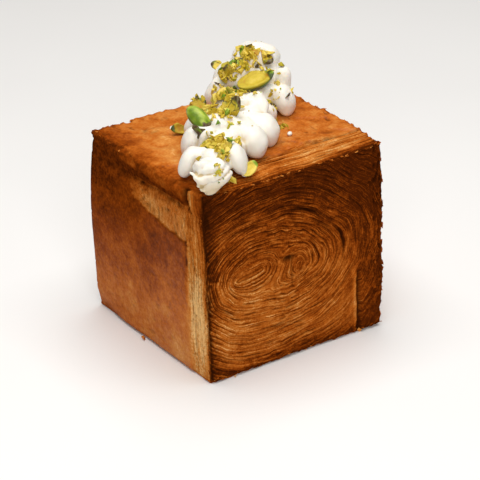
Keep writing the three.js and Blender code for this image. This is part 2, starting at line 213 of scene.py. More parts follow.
# Chopped bits, as in the solid, and finer ones in heaps
CHOPPED_COUNT, CHOPPED_RUN, CHOPPED_SPREAD = 36, (-36.0, 28.0), 5.0
CHOPPED_SIZE = (1.8, 3.4)
CHOPPED_GREEN, CHOPPED_BROWN = 0.3, 0.05
CHOPPED_SUNK = 0.25
CHIP_FORM = ((0.9, 0.7, 0.5), (1.3, 1.0, 0.8))  # least and most length, width and thickness of a bit
CHIP_POINTS = 8
DRIED_LOOK = (0.5, 0.0, 0.0, 1.0)  # shade, flesh, rim and brown of a bit of dried skin
DROP_HEIGHT = 40.0  # above the top of the pastry, where bits are dropped from
HEAPS = (
    # middle of a heap of chopped bits along the line and across it, its spread each way, the number of
    # bits, the smallest and largest, the share that is green, the share that is brown, and its height
    (0.5, 5.4, 4.4, 3.4, 96, 2.0, 4.8, 0.25, 0.05, 1.8),
    (-33.6, -1.8, 1.9, 1.9, 22, 2.2, 4.6, 0.3, 0.0, 0.7),
    (-29.4, 0.8, 1.6, 1.9, 26, 2.0, 4.4, 0.2, 0.0, 1.4),
    (-35.8, -4.2, 1.6, 1.2, 26, 1.8, 3.8, 0.2, 0.0, 1.4),
    (22.8, 0.4, 2.4, 3.8, 76, 1.8, 3.8, 0.2, 0.06, 0.8),
    (19.8, -0.8, 1.6, 4.6, 70, 1.4, 3.4, 0.2, 0.06, 0.6),
    (9.0, -13.4, 1.6, 1.2, 24, 0.8, 2.4, 0.3, 0.3, 0.3),
    (12.0, -8.8, 3.2, 2.0, 110, 0.5, 1.9, 0.15, 0.06, 0.4),
    (11.0, -1.6, 2.4, 4.2, 90, 1.0, 3.2, 0.2, 0.08, 0.9),
    (-47.2, -5.2, 0.6, 0.9, 22, 0.9, 2.2, 0.9, 0.0, 0.6),
    (-24.2, -6.8, 1.2, 1.1, 18, 1.2, 3.0, 0.1, 0.1, 0.6),
    (18.0, 6.6, 2.8, 3.0, 60, 1.4, 3.6, 0.3, 0.08, 0.9),
    (-2.0, 12.6, 2.2, 1.8, 30, 1.2, 3.6, 0.4, 0.15, 0.7),
    (-10.0, 4.5, 3.0, 2.4, 40, 1.4, 3.8, 0.3, 0.05, 0.8),
)
SHARDS = (
    # single thin bits: place along and across and how far it stands up, size, long axis, way it faces,
    # then shade, flesh, rim and brown from 0 to 1
    ((-23.6, 6.2, 1.6), (7.0, 5.4, 2.8), (-0.3, -0.9, 0.1), (-0.7, 0.2, 0.6), (0.3, 0.0, 0.0, 1.0)),
    ((-25.2, 6.6, 1.3), (5.2, 4.2, 3.4), (-0.6, -0.7, -0.2), (-0.6, 0.3, 0.7), (0.2, 0.0, 0.0, 1.0)),
    ((-23.4, 8.0, 1.4), (5.4, 3.8, 2.4), (-0.3, -0.9, -0.3), (-0.8, 0.3, 0.4), (0.1, 0.0, 0.0, 1.0)),
    ((-16.0, -1.4, 0.8), (5.6, 2.8, 1.7), (-0.8, -0.5, -0.3), (-0.5, -0.2, 0.8), (0.7, 0.0, 0.0, 0.1)),
    ((-17.4, -2.6, 0.4), (4.0, 2.2, 1.5), (-0.8, -0.5, -0.3), (-0.5, -0.2, 0.8), (0.8, 1.0, 0.3, 0.0)),
    ((-10.2, 4.0, 1.0), (4.6, 3.6, 1.3), (0.2, -0.9, 0.2), (-0.8, 0.1, 0.6), (0.7, 1.0, 0.0, 0.0)),
    ((-46.2, 1.5, 0.8), (3.0, 2.2, 1.6), (-0.5, 0.3, -0.7), (-0.7, 0.4, 0.5), (0.4, 1.0, 0.0, 0.0)),
    ((24.4, -1.4, 1.0), (5.2, 2.6, 1.4), (-0.3, -0.9, -0.3), (-0.6, 0.0, 0.8), (0.2, 1.0, 0.0, 0.0)),
    ((22.8, 3.4, 0.8), (3.4, 2.8, 2.2), (-0.3, -0.9, -0.3), (-0.6, 0.0, 0.8), (0.1, 0.0, 0.0, 0.8)),
    ((2.4, -3.4, 0.6), (2.4, 1.6, 1.2), (-0.3, -0.9, 0.3), (-0.6, 0.0, 0.8), (0.1, 0.0, 0.0, 0.8)),
    ((-1.6, 11.6, 1.4), (4.4, 3.2, 2.4), (0.3, -0.9, 0.3), (-0.6, 0.3, 0.8), (0.3, 0.0, 0.0, 1.0)),
)
STREWN_PLACE, STREWN_KIND = (-4.0, 0.5, 18.0, 5.0), (0.4, 1.1, 0.4, 0.1, 0.0)  # loose bits, as a heap
NUT_PIECES = [row[0] + "_nut" for row in PISTACHIOS]
KEPT_CLEAN = ("pistachio_half_nut", "pistachio_green_nut", "pistachio_right_rest_nut")

# Flakes and crumbs of the crust
FLAKE_EDGES = (
    # flakes that hang along an edge: places just outside its two ends, their number, the smallest and
    # largest, and how brown they are at least and at most
    ((40.0, -38.0, 4.0), (40.0, -38.0, 68.0), 60, 0.6, 1.6, 0.5, 0.95),
    ((-40.0, -39.0, 3.0), (-40.0, -38.0, 60.0), 50, 0.4, 0.9, 0.55, 0.95),
    ((-26.0, -38.0, 72.0), (38.0, -37.0, 72.0), 80, 0.4, 1.2, 0.3, 0.8),
    ((-36.0, -39.0, 0.4), (36.0, -37.0, 0.4), 40, 0.5, 1.1, 0.35, 0.85),
    ((40.0, -30.0, 72.0), (40.0, 16.0, 72.0), 50, 0.6, 1.5, 0.3, 0.65),
    ((-40.0, 10.0, 72.0), (-40.0, 33.0, 72.0), 16, 0.8, 1.8, 0.35, 0.8),
    ((-38.0, 38.0, 72.0), (-16.0, 38.0, 72.0), 26, 0.9, 2.2, 0.3, 0.65),
)
CRUMBS = (
    # single crumbs at the foot: place, size and how brown they are
    ((5.5, -33.2, 0.9), (2.8, 2.2, 1.8), 0.4),
    ((4.0, -33.6, 0.5), (1.4, 1.2, 1.0), 0.3),
    ((26.5, -33.6, 0.7), (2.6, 1.7, 1.4), 0.3),
    ((-36.4, 4.1, 0.8), (2.0, 3.2, 1.6), 0.45),
    ((-25.7, -35.4, 0.5), (1.9, 1.4, 1.0), 0.05),
)
FLAKE_FORM = ((1.4, 0.6, 0.3), (2.4, 1.0, 0.6))
FLAKE_SUNK, FLAKE_SKIN = 0.25, 0.7
RANDOM_SEED = 7
RANDOM_STEP, RANDOM_RANGE = 16807, 2147483647
NOISE_SEEDS = {
    "left": 11, "right": 31, "front": 51, "back": 71, "underside": 91, "top": 111, "edges": 131,
    "cream": 201, "nuts": 301,
}

# The camera, fitted to the corners of the block
CAMERA_AZIMUTH, CAMERA_ELEVATION, CAMERA_ROLL = -33.9, 26.1, -0.74  # degrees
CAMERA_DISTANCE, CAMERA_TARGET = 774.6, (0.66, 0.0, 28.65)
CAMERA_LENS, SENSOR = 170.5, 36.0
CLIP_START, CLIP_END = 0.05, 20.0  # m

# The stage in m: places and sizes of the softboxes, and half the floor
OVERHEAD_PLACE, OVERHEAD_SIZE = (0.0, 0.0, 0.75), 0.7
FRONT_PLACE, FRONT_SIZE = (-0.5, -0.85, 0.6), 0.6
FLOOR_REACH = 3.0
ROOM_COLOUR = (255, 250, 244)

# the darkness value holds the dark gaps between layers and painted shade in recesses
CRUST_VALUES = ("relief", "groove_and_shade", "tone", "skin", "gloss", "lines", "ends", "roll_x", "roll_z")
LATTICE = np.array((73856093, 19349663, 83492791))  # large primes that mix the cells of the noise
NOISE_VALUES = 4093
FAINT = 1e-4


def srgb(red, green, blue):
    """A colour on the 0 to 255 scale of a picture, as the linear values that a shader takes."""
    parts = [value / 255 for value in (red, green, blue)]
    return [part / 12.92 if part <= 0.04045 else ((part + 0.055) / 1.055) ** 2.4 for part in parts]


def rgba(colour):
    return (*colour, 1.0)


def smooth(low, high, value):
    """From 0 to 1 as the value goes from low to high, with soft ends."""
    part = np.clip((value - low) / (high - low), 0.0, 1.0)
    return part * part * (3.0 - 2.0 * part)


def zero_to_one(value):
    return np.clip(value, 0, 1)


def bell(distance, spread):
    return np.exp(-((distance / spread) ** 2))


def toward(value, other, share):
    return value + share * (other - value)


def cloud(points, size, seed):
    """Smooth noise from -1 to 1, with lumps of about that size."""
    table = np.random.default_rng(seed).uniform(-1.0, 1.0, NOISE_VALUES)
    grid = np.asarray(points) / size
    cell = np.floor(grid).astype(np.int64)
    part = grid - cell
    part = part * part * (3.0 - 2.0 * part)
    total = np.zeros(len(grid))
    for corner in product((0, 1), repeat=3):
        weight = np.prod(np.where(corner, part, 1.0 - part), axis=1)
        total += weight * table[((cell + corner) @ LATTICE) % len(table)]
    return total


def crags(points, size, seed):
    """Sharp-edged noise from 0 to 1, high along thin lines."""
    size = np.asarray(size)
    return 1.0 - np.abs(cloud(points, size, seed) + 0.5 * cloud(points, size / 2.1, seed + 1)) / 1.5


def wavy_line(value, spread):
    """How close a value is to the middle between two whole numbers, from 0 to 1."""
    return bell(value - np.floor(value) - 0.5, spread)


# The pastry block

def flattened(point, axis):
    """The points laid flat along one axis, so that noise doesn't change with depth."""
    face = point.copy()
    face[:, axis] = 0
    return face


def wall_shift(cube):
    shift = np.zeros(len(cube))
    for x, y, base, top, bow in UPRIGHT_EDGES:
        share = (1 + x * cube[:, 0]) * (1 + y * cube[:, 1]) / 4
        up = (1 + cube[:, 2]) / 2
        shift += share * (base + (top - base) * up + bow * (1 - cube[:, 2] ** 2))
    return shift


def end_at(end, x, z):
    middle, per_x, per_z = end
    return middle + per_x * x + per_z * (z - HEIGHT / 2)


def crust(cube):
    """Points of the block's skin with the ways they face and their distance from the -Y end, from the
    points of a cube that reaches from -1 to 1."""
    half = np.array((WIDTH, DEPTH, HEIGHT)) / 2
    flat = cube * half
    reach = half - EDGE_RADIUS
    core = np.clip(flat, -reach, reach)
    facing = flat - core
    facing /= np.linalg.norm(facing, axis=1)[:, None]
    point = core + facing * EDGE_RADIUS
    left, right = zero_to_one(-facing[:, 0]), zero_to_one(facing[:, 0])
    top, base = zero_to_one(facing[:, 2]), zero_to_one(-facing[:, 2])
    x, y, z = cube.T

    bulge = BULGE * (1 - y ** 2) * (1 - z ** 2)
    point[:, 0] += (right - left) * bulge + wall_shift(cube)
    point[:, 2] += half[2]
    front = end_at(FRONT_END, point[:, 0], point[:, 2])
    back = end_at(BACK_END, point[:, 0], point[:, 2])
    from_end = (1 + y) * half[1]
    point[:, 1] = front + (back - front) * (point[:, 1] / DEPTH + 0.5)

    point[:, 0] -= base * BASE_DRAW_IN * x * (1 - y ** 2)
    point[:, 1] -= base * BASE_DRAW_IN * y * (1 - x ** 2)
    roll_off = zero_to_one(1 - from_end / ROLL_OFF_LENGTH) ** 2
    point[:, 2] -= top * ROLL_OFF_DROP * roll_off * (1 - x ** 2)
    lip = bell(HEIGHT - point[:, 2] - LIP_HEIGHT, LIP_SPREAD) * smooth(*LIP_START, from_end) * (1 - y ** 4)
    point[:, 0] -= left * LIP_OVERHANG * lip
    return point, facing, from_end


def segment_distance(x, z, start, end):
    along = np.array(end) - np.array(start)
    part = zero_to_one(((x - start[0]) * along[0] + (z - start[1]) * along[1]) / (along @ along))
    return np.hypot(x - start[0] - part * along[0], z - start[1] - part * along[1])


def roll_radius(x, z):
    """How far out in the roll a place is: flat rings round one middle, with two small folds inside."""
    x, z = np.atleast_1d(x).astype(float), np.atleast_1d(z).astype(float)
    dx, dz = x - EYE_X, z - EYE_Z
    low, high = np.zeros_like(dx), np.hypot(dx, dz) + FAINT
    for _ in range(RADIUS_STEPS):
        middle = (low + high) / 2
        outside = (dx / (middle + EYE_HALF_LENGTH)) ** 2 + (dz / (middle + FAINT)) ** 2 > 1
        low, high = np.where(outside, middle, low), np.where(outside, high, middle)
    folds = [segment_distance(x, z, *eye) for eye in CORE_EYES]
    inner = -CORE_BLEND * np.log(sum(np.exp(-fold / CORE_BLEND) for fold in folds))
    return inner + (high - inner) * smooth(*CORE_REACH, high)


def roll_angle(x, z):
    return np.arctan2(z - NOTCH_Z, x - NOTCH_X)


def parted_layers(relief, groove_and_shade, radius, angle):
    """Relief and darkness, with the gaps where layers have come apart, dark with painted shade."""
    for gap_x, gap_z, half_length, depth in LAYER_GAPS:
        apart = radius - roll_radius(gap_x, gap_z)
        round_it = np.angle(np.exp(1j * (angle - roll_angle(gap_x, gap_z))))
        gap = bell(apart, 0.5) * bell(round_it, half_length)
        relief = relief - depth * gap
        groove_and_shade = groove_and_shade + 1.1 * depth * gap
    return relief, groove_and_shade


def opened_heart(relief, groove_and_shade, across, up):
    """Relief and darkness, with the hole where the sheet starts and the crack below it, both dark with
    painted shade.
    """
    hole = bell(np.hypot((across - NOTCH_X) / 2.4, (up - NOTCH_Z) / 0.9), 1.0)
    crack = bell(across - NOTCH_X - 0.9, 0.4) * smooth(25, 28, up) * smooth(37, 35, up)
    return relief - (1.2 * hole + 0.4 * crack), groove_and_shade + 1.1 * hole + 0.4 * crack


def low_flap(relief, groove_and_shade, point, seed):
    """Relief and darkness with the flap low on the end, and where the flap and the ridge beside it are. The
    gap beside the flap is dark with painted shade.
    """
    up = point[:, 2]
    edge = point[:, 0] - FLAP_LEFT + 0.4 * cloud(point, 5, seed + 11)
    upper = smooth(FLAP_TOP + 2, FLAP_TOP - 3, up)
    flap = smooth(-0.3, 0.3, edge) * smooth(FLAP_TOP + 0.5, FLAP_TOP - 0.5, up) * smooth(0.8, 1.6, up)
    parted = bell(edge + 0.7, 0.6) * upper
    ridge = bell(edge + 2.3, 0.8) * upper
    relief = relief + ((FLAP_PROUD + 0.2) * flap + 0.35 * ridge - 0.9 * parted)
    return relief, groove_and_shade * (1 - 0.6 * np.maximum(flap, ridge)) + parted, flap, ridge


def rolled_end(point, seed, shown):
    """Relief, darkness and browning of the bare layers on an end of the roll."""
    face = flattened(point, 1)
    across, up = point[:, 0], point[:, 2]
    x, z = across, up
    for size, reach, start in ROLL_WAVES:
        x = x + reach * cloud(face, size, seed + start)
        z = z + reach * cloud(face, size, seed + start + 2)
    radius, angle = roll_radius(x, z), roll_angle(x, z)
    turn = np.column_stack((np.cos(angle), np.sin(angle)))
    far = smooth(2, 11, np.hypot(x - NOTCH_X, z - NOTCH_Z))
    lines = LAYERS_PER_TURN * (radius - EYE_RADIUS) / TURN_PITCH
    lines = lines + 0.4 * far * cloud(np.column_stack((4 * turn, radius / 2.8)), 1, seed + 4)
    layer = lines - LAYERS_PER_TURN * angle / (2 * math.pi)
    index = np.floor(layer)
    calm = 0.6 * smooth(8, 26, across) * smooth(62, 50, up) + 0.18 * smooth(44, 18, up)

    strength = 0.46 + 0.9 * cloud(np.column_stack((7.0 * turn, 3.7 * index)), 1, seed + 5)
    strength = np.clip(strength, 0.05, 1)
    # dark lines between the layers, partly painted shade in the gaps between them
    groove_and_shade = wavy_line(layer, END_GROOVE) * strength * (1 - np.clip(calm, 0, 0.75)) * (0.4 + 0.6 * far)
    step = cloud(np.column_stack((3.0 * turn, 5.1 * index)), 1, seed + 7)
    streak = cloud(np.column_stack((5.0 * turn, 1.3 * layer)), 1, seed + 8)
    fuzz = cloud(face, 0.8, seed + 9)
    macro = np.cos(2 * math.pi * layer / LAYERS_PER_TURN)
    relief = -0.5 + 0.2 * macro + 0.2 * step - 0.5 * groove_and_shade + 0.12 * fuzz

    rim = smooth(29.0 + 2.0 * cloud(face, 6, seed + 13), 34.0, across)
    rough = crags(point * (1.5, 1, 0.7), 1.9, seed + 10)
    relief += rim * ((1.7 if shown else 0.9) * rough - 1.3)
    groove_and_shade = groove_and_shade * (1 - 0.6 * rim) + 0.9 * rim * smooth(0.85, 0.4, rough)
    # along the left edge the layers darken, partly browned and partly painted shade in the recess and the
    # seam there
    worn = smooth(-30.4 + 1.5 * cloud(face, 4, seed + 14), -33.2, across)
    seam = smooth(-33.0 + 0.7 * cloud(face, (1, 1, 1.6), seed + 20), -34.2, across)
    relief -= 0.25 * worn + 0.6 * seam
    extra_dark = zero_to_one(0.24 + 0.5 * fuzz)
    groove_and_shade = groove_and_shade * (1 - 0.5 * worn) + worn * extra_dark
    groove_and_shade = groove_and_shade + seam * zero_to_one(0.6 + 0.9 * cloud(face, (1, 1, 1.3), seed + 21))
    # darker towards the foot
    foot = smooth(3.4, 0.4, up + 0.8 * cloud(face, 2.2, seed + 22))
    groove_and_shade = groove_and_shade + foot * extra_dark
    flap = ridge = np.zeros(len(point))
    if shown:
        relief, groove_and_shade = parted_layers(relief, groove_and_shade, radius, angle)
        relief, groove_and_shade = opened_heart(relief, groove_and_shade, across, up)
        relief, groove_and_shade, flap, ridge = low_flap(relief, groove_and_shade, point, seed)

    pale = zero_to_one(0.25 + cloud(np.column_stack((6.0 * turn, 4.3 * index)), 1, seed + 23))
    pale = pale * wavy_line(layer + 0.5, 0.2) * (1 - 0.6 * smooth(4, 26, across))
    left = smooth(-10, -28, across) * smooth(58, 44, up)
    tone = 0.53 - 0.34 * pale + left * (0.01 - 0.3 * pale)
    # darker towards the top, partly more baked and partly painted shade where less light bounces up from the
    # floor; darker at the foot too
    tone += 0.26 * smooth(26, 50, up) + 0.26 * smooth(48, 66, up) + 0.34 * smooth(6.5, 0.5, up)
    # the last term darkens the left edge of the end, partly browning and partly painted shade in its recess
    tone += 0.1 * smooth(-14, 8, across) + 0.23 * smooth(18, 35, across) + 0.3 * smooth(-28, -34, across)
    tone += 0.08 * cloud(face, 13, seed + 12) + 0.15 * streak - 0.08 * step + 0.1 * flap - 0.3 * ridge
    return {"relief": np.clip(relief, -1.7, 0.45), "groove_and_shade": groove_and_shade, "tone": tone,
            "lines": lines, "ends": np.ones(len(point)), "roll_x": x, "roll_z": z}


def bare_layers(from_end, face, pitch, sway, sway_size, ripple_size, seed):
    """How many layers from the -Y end a place on a strip of bare layers is."""
    lines = from_end / pitch + sway * cloud(face, sway_size, seed)
    lines += 0.35 * cloud(face, ripple_size, seed + 1)
    return lines


def layer_looks(lines, least, near, far, seed):
    """How open the gap beside each layer is, and the paler and darker streaks of the layers."""
    opening = cloud(np.column_stack((np.floor(lines) * 5.3, *near)), 1, seed)
    streak = cloud(np.column_stack((lines * 1.7, *far)), 1, seed + 1)
    return zero_to_one(least + 0.8 * opening), streak


def torn_skin(look, point, from_end, strip, mottle, seed):
    """Adds the scored patch that the skin has torn away from, above its crease."""
    y, z = point[:, 1], point[:, 2]
    face = flattened(point, 0)
    crease = np.interp(y, CREASE_Y, CREASE_Z) + 0.6 * cloud(face, (1, 3, 3), seed + 9)
    torn = smooth(-0.2, 0.2, z - crease) * (1 - strip) * smooth(62.0, 60.5, z)
    torn *= smooth(17, 1, y + 3 * cloud(face, (1, 4, 9), seed + 21))
    scratch = from_end / 0.8 + 0.2 * z + 1.3 * cloud(face, (1, 5, 5), seed + 10)
    worn = cloud(np.column_stack((np.floor(scratch) * 3.1, z / 4, y / 9)), 1, seed + 13)
    scored = zero_to_one(0.45 + worn) * wavy_line(scratch, 0.22)
    look["relief"] += torn * (-0.45 + 0.25 * cloud(face, 2.5, seed + 14) - 0.35 * scored)
    look["groove_and_shade"] += torn * 0.7 * scored
    # darker just under the lip, partly browning and partly painted shadow of the lip
    bared = 0.26 + 0.1 * mottle + 0.24 * smooth(-6, 12, y) + 0.3 * smooth(54, 61, z)
    look["tone"] = toward(look["tone"], bared, 0.9 * torn)
    look["lines"] = toward(look["lines"], scratch, torn)
    look["skin"] = look["skin"] * (1 - 0.95 * torn)
    line = bell(z - crease + 0.15, 0.3) * (1 - strip) * smooth(14, 9, y)
    look["groove_and_shade"] += 0.6 * line * zero_to_one(0.6 + 0.8 * cloud(face, 3, seed + 11))


def folded_corner(look, z, from_end, edge, streak):
    """Adds the crack and the cleft beside the bare strip, dark with painted shade, and the layers that curl
    over its top.
    """
    crack = bell(edge - 0.4, 0.35) * smooth(38, 41, z) * smooth(49, 47.5, z)
    cleft = bell(from_end - 9.8 + 0.09 * (z - 64.5) ** 2, 0.8) * smooth(58.5, 60.5, z)
    look["relief"] -= 0.7 * crack + 1.4 * cleft
    look["groove_and_shade"] += 0.9 * crack + 1.3 * cleft
    fold = smooth(9.0, 8.0, from_end) * smooth(59, 63.0, z)
    curl = 0.5 + 0.2 * streak + 0.42 * smooth(4.5, 1.5, from_end) - 0.16 * bell(from_end - 6.4, 1.2)
    look["tone"] = toward(look["tone"], curl, fold)
    look["relief"] += 0.9 * fold * bell(from_end - 5, 2.6)
    look["skin"] = np.maximum(look["skin"], fold)


def ragged_lip(look, point, from_end, mottle, seed):
    """Adds the browned lip that hangs over from the top, and the painted shadow line under it."""
    y, z = point[:, 1], point[:, 2]
    face = flattened(point, 0)
    ragged = 0.9 * cloud(face, (1, 8, 8), seed + 16) + 0.7 * cloud(face, (1, 2.4, 2.0), seed + 17)
    lip = smooth(60.4, 61.6, z + ragged) * smooth(9.2, 10.2, from_end)
    rolled = 0.8 + 0.14 * smooth(-6, 14, y) + 0.12 * mottle + 0.3 * smooth(65.0, 61.5, z)
    look["tone"] = toward(look["tone"], rolled, lip)
    look["relief"] += lip * (0.9 * crags(face, (1, 3.4, 2.2), seed + 18) - 0.7)
    look["gloss"] = look["gloss"] * (1 - lip)
    look["skin"] = np.maximum(look["skin"], lip)
    # painted shadow under the overhanging lip
    under = bell(z - 60.0 + ragged, 0.8) * smooth(10.2, 12, from_end) * smooth(66, 55, from_end)
    look["relief"] -= 0.6 * under
    look["groove_and_shade"] += 0.45 * under


def side_wall(point, from_end, seed, shown):
    """The crust that lay against the tin, with a strip of bare layers along the -Y end."""
    y, z = point[:, 1], point[:, 2]
    face = flattened(point, 0)
    lump = cloud(face, 15, seed)
    mottle = cloud(face, 6, seed + 1) + 0.6 * cloud(face, 2.6, seed + 2)

    edge = from_end - BAND_WIDTH - 0.6 * cloud(face, (1, 1, 9), seed + 3)
    edge -= 0.3 * cloud(face, 2.5, seed + 12)
    blend = 0.3 + 1.2 * smooth(44, 30, z)
    strip = smooth(blend, -blend, edge)
    lines = bare_layers(from_end, face, SIDE_LAYER, 0.9, (1, 40, 17), (1, 3, 6), seed + 4)
    strength, streak = layer_looks(lines, 0.3, (y / 9, z / 7), (z / 11, y / 30), seed + 6)
    flecks = strip * smooth(0.86, 0.97, crags(face, (1, 0.9, 2.4), seed + 19))
    gap = wavy_line(lines, SIDE_GROOVE)
    groove_and_shade = strip * gap * strength * (0.6 + 0.4 * smooth(20, 50, z)) + 0.28 * flecks
    spots = (1 - strip) * smooth(0.6, 0.85, cloud(face, (1, 1.4, 1.8), seed + 22))
    groove_and_shade = groove_and_shade + 0.25 * spots
    relief = 0.22 * lump + 0.06 * mottle - 0.15 * spots
    relief += strip * (-BAND_DEPTH - 0.4 * gap * strength + 0.2 * streak) - 0.2 * flecks

    # darker towards the top, partly more baked and partly painted shade where less light bounces up from the
    # floor
    tone = 0.49 + 0.28 * smooth(6, 36, z) + 0.13 * smooth(30, 56, z) + 0.08 * lump + 0.08 * mottle
    tone += 0.04 * smooth(30, 62, from_end) + 0.2 * smooth(3, 0.5, z)
    clouds = smooth(0.1, 0.7, cloud(face, (1, 5, 9), seed + 15)) * smooth(34, 10, z)
    tone -= 0.14 * clouds + 0.05 * smooth(34, 12, from_end) * smooth(40, 15, z)
    tone -= 0.06 * smooth(38, 14, from_end) * smooth(60, 48, z)
    # the bare strip too is darker towards the top, partly painted shade where less light bounces up
    bare = -0.02 + 0.56 * smooth(24, 64, z) + 0.34 * smooth(3.4, 1.0, from_end)
    bare += 0.2 * streak + 0.06 * mottle
    bare += 0.2 * smooth(14, 2, z) + (0.04 if shown else 0.24)
    tone = toward(tone, bare, strip)
    skin = 1 - strip
    gloss = skin * (0.3 * smooth(52, 12, z) + 0.25 * smooth(42, 14, from_end) * smooth(64, 40, z))

    # the dark line at the corner with the rolled end is partly painted shade in the seam
    seam = bell(from_end - 0.8 + 0.3 * cloud(face, 1.4, seed + 20), 0.5)
    relief -= 0.5 * seam
    groove_and_shade = groove_and_shade + 0.8 * seam
    look = {"relief": relief, "groove_and_shade": groove_and_shade, "tone": tone, "skin": skin, "gloss": gloss, "lines": lines}
    if shown:
        far_side = smooth(16, 32, y)
        look["relief"] += far_side * (0.9 * bell(z - 44, 17) - 1.2 * smooth(9, 0, z))
        torn_skin(look, point, from_end, strip, mottle, seed)
        folded_corner(look, z, from_end, edge, streak)
        ragged_lip(look, point, from_end, mottle, seed)
    return look


def top_crust(point, from_end, seed):
    """The glossy blistered top, with a band of bare layers along the -Y end."""
    x, y = point[:, 0], point[:, 1]
    face = flattened(point, 2)
    lump = cloud(face, 16, seed)
    mottle = cloud(face, 5, seed + 1) + 0.6 * cloud(face, 2.2, seed + 2)
    blisters = smooth(0.3, 0.85, cloud(face, 4.2, seed + 3))
    pits = smooth(0.66, 0.84, cloud(face, 2.0, seed + 4)) * smooth(-0.2, 0.4, lump)
    run_x, run_y = FLAKE_RUN
    drift = np.column_stack((run_x * x + run_y * y, run_x * y - run_y * x, np.zeros(len(x))))
    sheet = cloud(drift, (20, 5.5, 1), seed + 11) + 0.35 * cloud(drift, (6, 2.6, 1), seed + 12)
    crack = bell(sheet, 0.07) * smooth(-0.2, 0.4, cloud(face, 7, seed + 13))

    edge = from_end - TOP_BAND_WIDTH - 1.6 * cloud(face, (8, 1, 1), seed + 5)
    edge -= 0.6 * cloud(face, (2.5, 1, 1), seed + 6)
    edge += 12 * smooth(-22, -30, x)
    band = smooth(0.3, -0.3, edge)
    lines = bare_layers(from_end, face, TOP_LAYER, 0.8, (18, 40, 1), (7, 3, 1), seed + 7)
    strength, streak = layer_looks(lines, 0.55, (x / 8, y / 9), (x / 12, y / 30), seed + 9)
    gap = wavy_line(lines, TOP_GROOVE)
    groove_and_shade = band * gap * strength
    whole = 1 - band
    relief = whole * (0.4 * lump + 0.35 * blisters - 0.35 * pits + 0.06 * mottle)
    raised = smooth(-0.1, 0.1, sheet)
    relief += whole * (0.45 * raised - 0.2 - 0.35 * crack)
    relief += band * (-0.45 - 0.45 * gap * strength + 0.25 * streak)
    # painted shade in the pits and cracks, and a painted shadow line along the step of the skin edge
    groove_and_shade = groove_and_shade + whole * (0.6 * pits + 0.5 * crack) + 0.4 * bell(edge, 0.35)

    tone = 0.52 + 0.08 * lump + 0.11 * mottle - 0.1 * blisters - 0.08 * raised
    tone += 0.12 * smooth(26, 36, x) + 0.1 * smooth(26, 34, y) + 0.3 * smooth(-27, -35, x)
    bare = 0.44 + 0.3 * streak + 0.1 * mottle + 0.4 * smooth(6, 0, from_end)
    tone = toward(tone, bare, band)
    gloss = 0.34 * whole * (1 - 0.85 * smooth(-30, -35, x))
    return {"relief": relief, "groove_and_shade": groove_and_shade, "tone": tone, "skin": whole, "gloss": gloss, "lines": lines}


def underside(point, seed):
    tone = 0.72 + 0.12 * cloud(point, 8, seed)
    return {"tone": tone, "skin": np.full(len(point), 0.6)}


def frayed_edges(point, facing, seed):
    """Layers that stick out or broke off along the edges, as relief and darkness, the darkness partly
    browning and partly painted shade in their dips.
    """
    near = zero_to_one(-facing[:, 1]) * zero_to_one(1 + facing[:, 1]) * 4
    along = np.maximum(np.abs(facing[:, 0]), np.abs(facing[:, 2]))
    bits = crags(point, (1.8, 0.7, 1.8), seed) + 0.3 * cloud(point, 0.9, seed + 2)
    weight = zero_to_one(near * along)
    sides = np.maximum(np.abs(facing[:, 0]), zero_to_one(facing[:, 1]))
    rounded = zero_to_one(4 * zero_to_one(facing[:, 2]) * sides) * (1 - weight)
    lumps = crags(point, 3.4, seed + 4) + 0.4 * cloud(point, 1.4, seed + 6)
    relief = weight * (bits - 0.85) + rounded * (1.4 * lumps - 1.0)
    # darker where the edge dips in: partly browning, partly painted shade
    browning_and_dip_shade = weight * 0.5 * smooth(0.85, 0.5, bits) + rounded * 0.4 * smooth(0.8, 0.45, lumps)
    return relief, browning_and_dip_shade


def gridded_cube(cells):
    """A cube from -1 to 1 with that many cells along X, Y and Z."""
    bm = bmesh.new()
    bmesh.ops.create_cube(bm, size=2)
    for axis in (0, 2, 1):
        edges = [e for e in bm.edges if abs(e.verts[0].co[axis] - e.verts[1].co[axis]) > 1]
        bmesh.ops.subdivide_edges(bm, edges=edges, cuts=cells[axis] - 1, use_grid_fill=True)
    return bm


def cut_flat(bm, place, facing):
    """Cuts off what lies beyond a plane, and closes the cut."""
    everything = bm.verts[:] + bm.edges[:] + bm.faces[:]
    made = bmesh.ops.bisect_plane(bm, geom=everything, plane_co=place, plane_no=facing, clear_outer=True)
    rim = [item for item in made["geom_cut"] if isinstance(item, bmesh.types.BMEdge)]
    bmesh.ops.edgeloop_fill(bm, edges=rim)


def mesh_of(name, bm):
    mesh = bpy.data.meshes.new(name)
    bm.to_mesh(mesh)
    bm.free()
    return mesh


def places(mesh):
    flat = np.zeros(3 * len(mesh.vertices))
    mesh.vertices.foreach_get("co", flat)
    return flat.reshape(-1, 3)


def facings(mesh):
    flat = np.zeros(3 * len(mesh.vertices))
    mesh.vertex_normals.foreach_get("vector", flat)
    return flat.reshape(-1, 3)


def move_to(mesh, points):
    mesh.vertices.foreach_set("co", np.asarray(points, np.float32).ravel())
    mesh.update()


def write_values(mesh, **values):
    """Keeps a number for each point, under a name that materials read."""
    for name, numbers in values.items():
        layer = mesh.attributes.get(name) or mesh.attributes.new(name, "FLOAT", "POINT")
        layer.data.foreach_set("value", np.asarray(numbers, np.float32))


def with_modifiers_applied(mesh, *modifiers):
    """A new mesh, as the modifiers leave this one. Each is a kind and its settings."""
    holder = bpy.data.objects.new("holder", mesh)
    bpy.context.scene.collection.objects.link(holder)
    for kind, settings in modifiers:
        modifier = holder.modifiers.new(kind.title(), kind)
        for name, value in settings.items():
            setattr(modifier, name, value)
    graph = bpy.context.evaluated_depsgraph_get()
    finished_mesh = bpy.data.meshes.new_from_object(holder.evaluated_get(graph))
    bpy.data.objects.remove(holder)
    bpy.data.meshes.remove(mesh)
    return finished_mesh


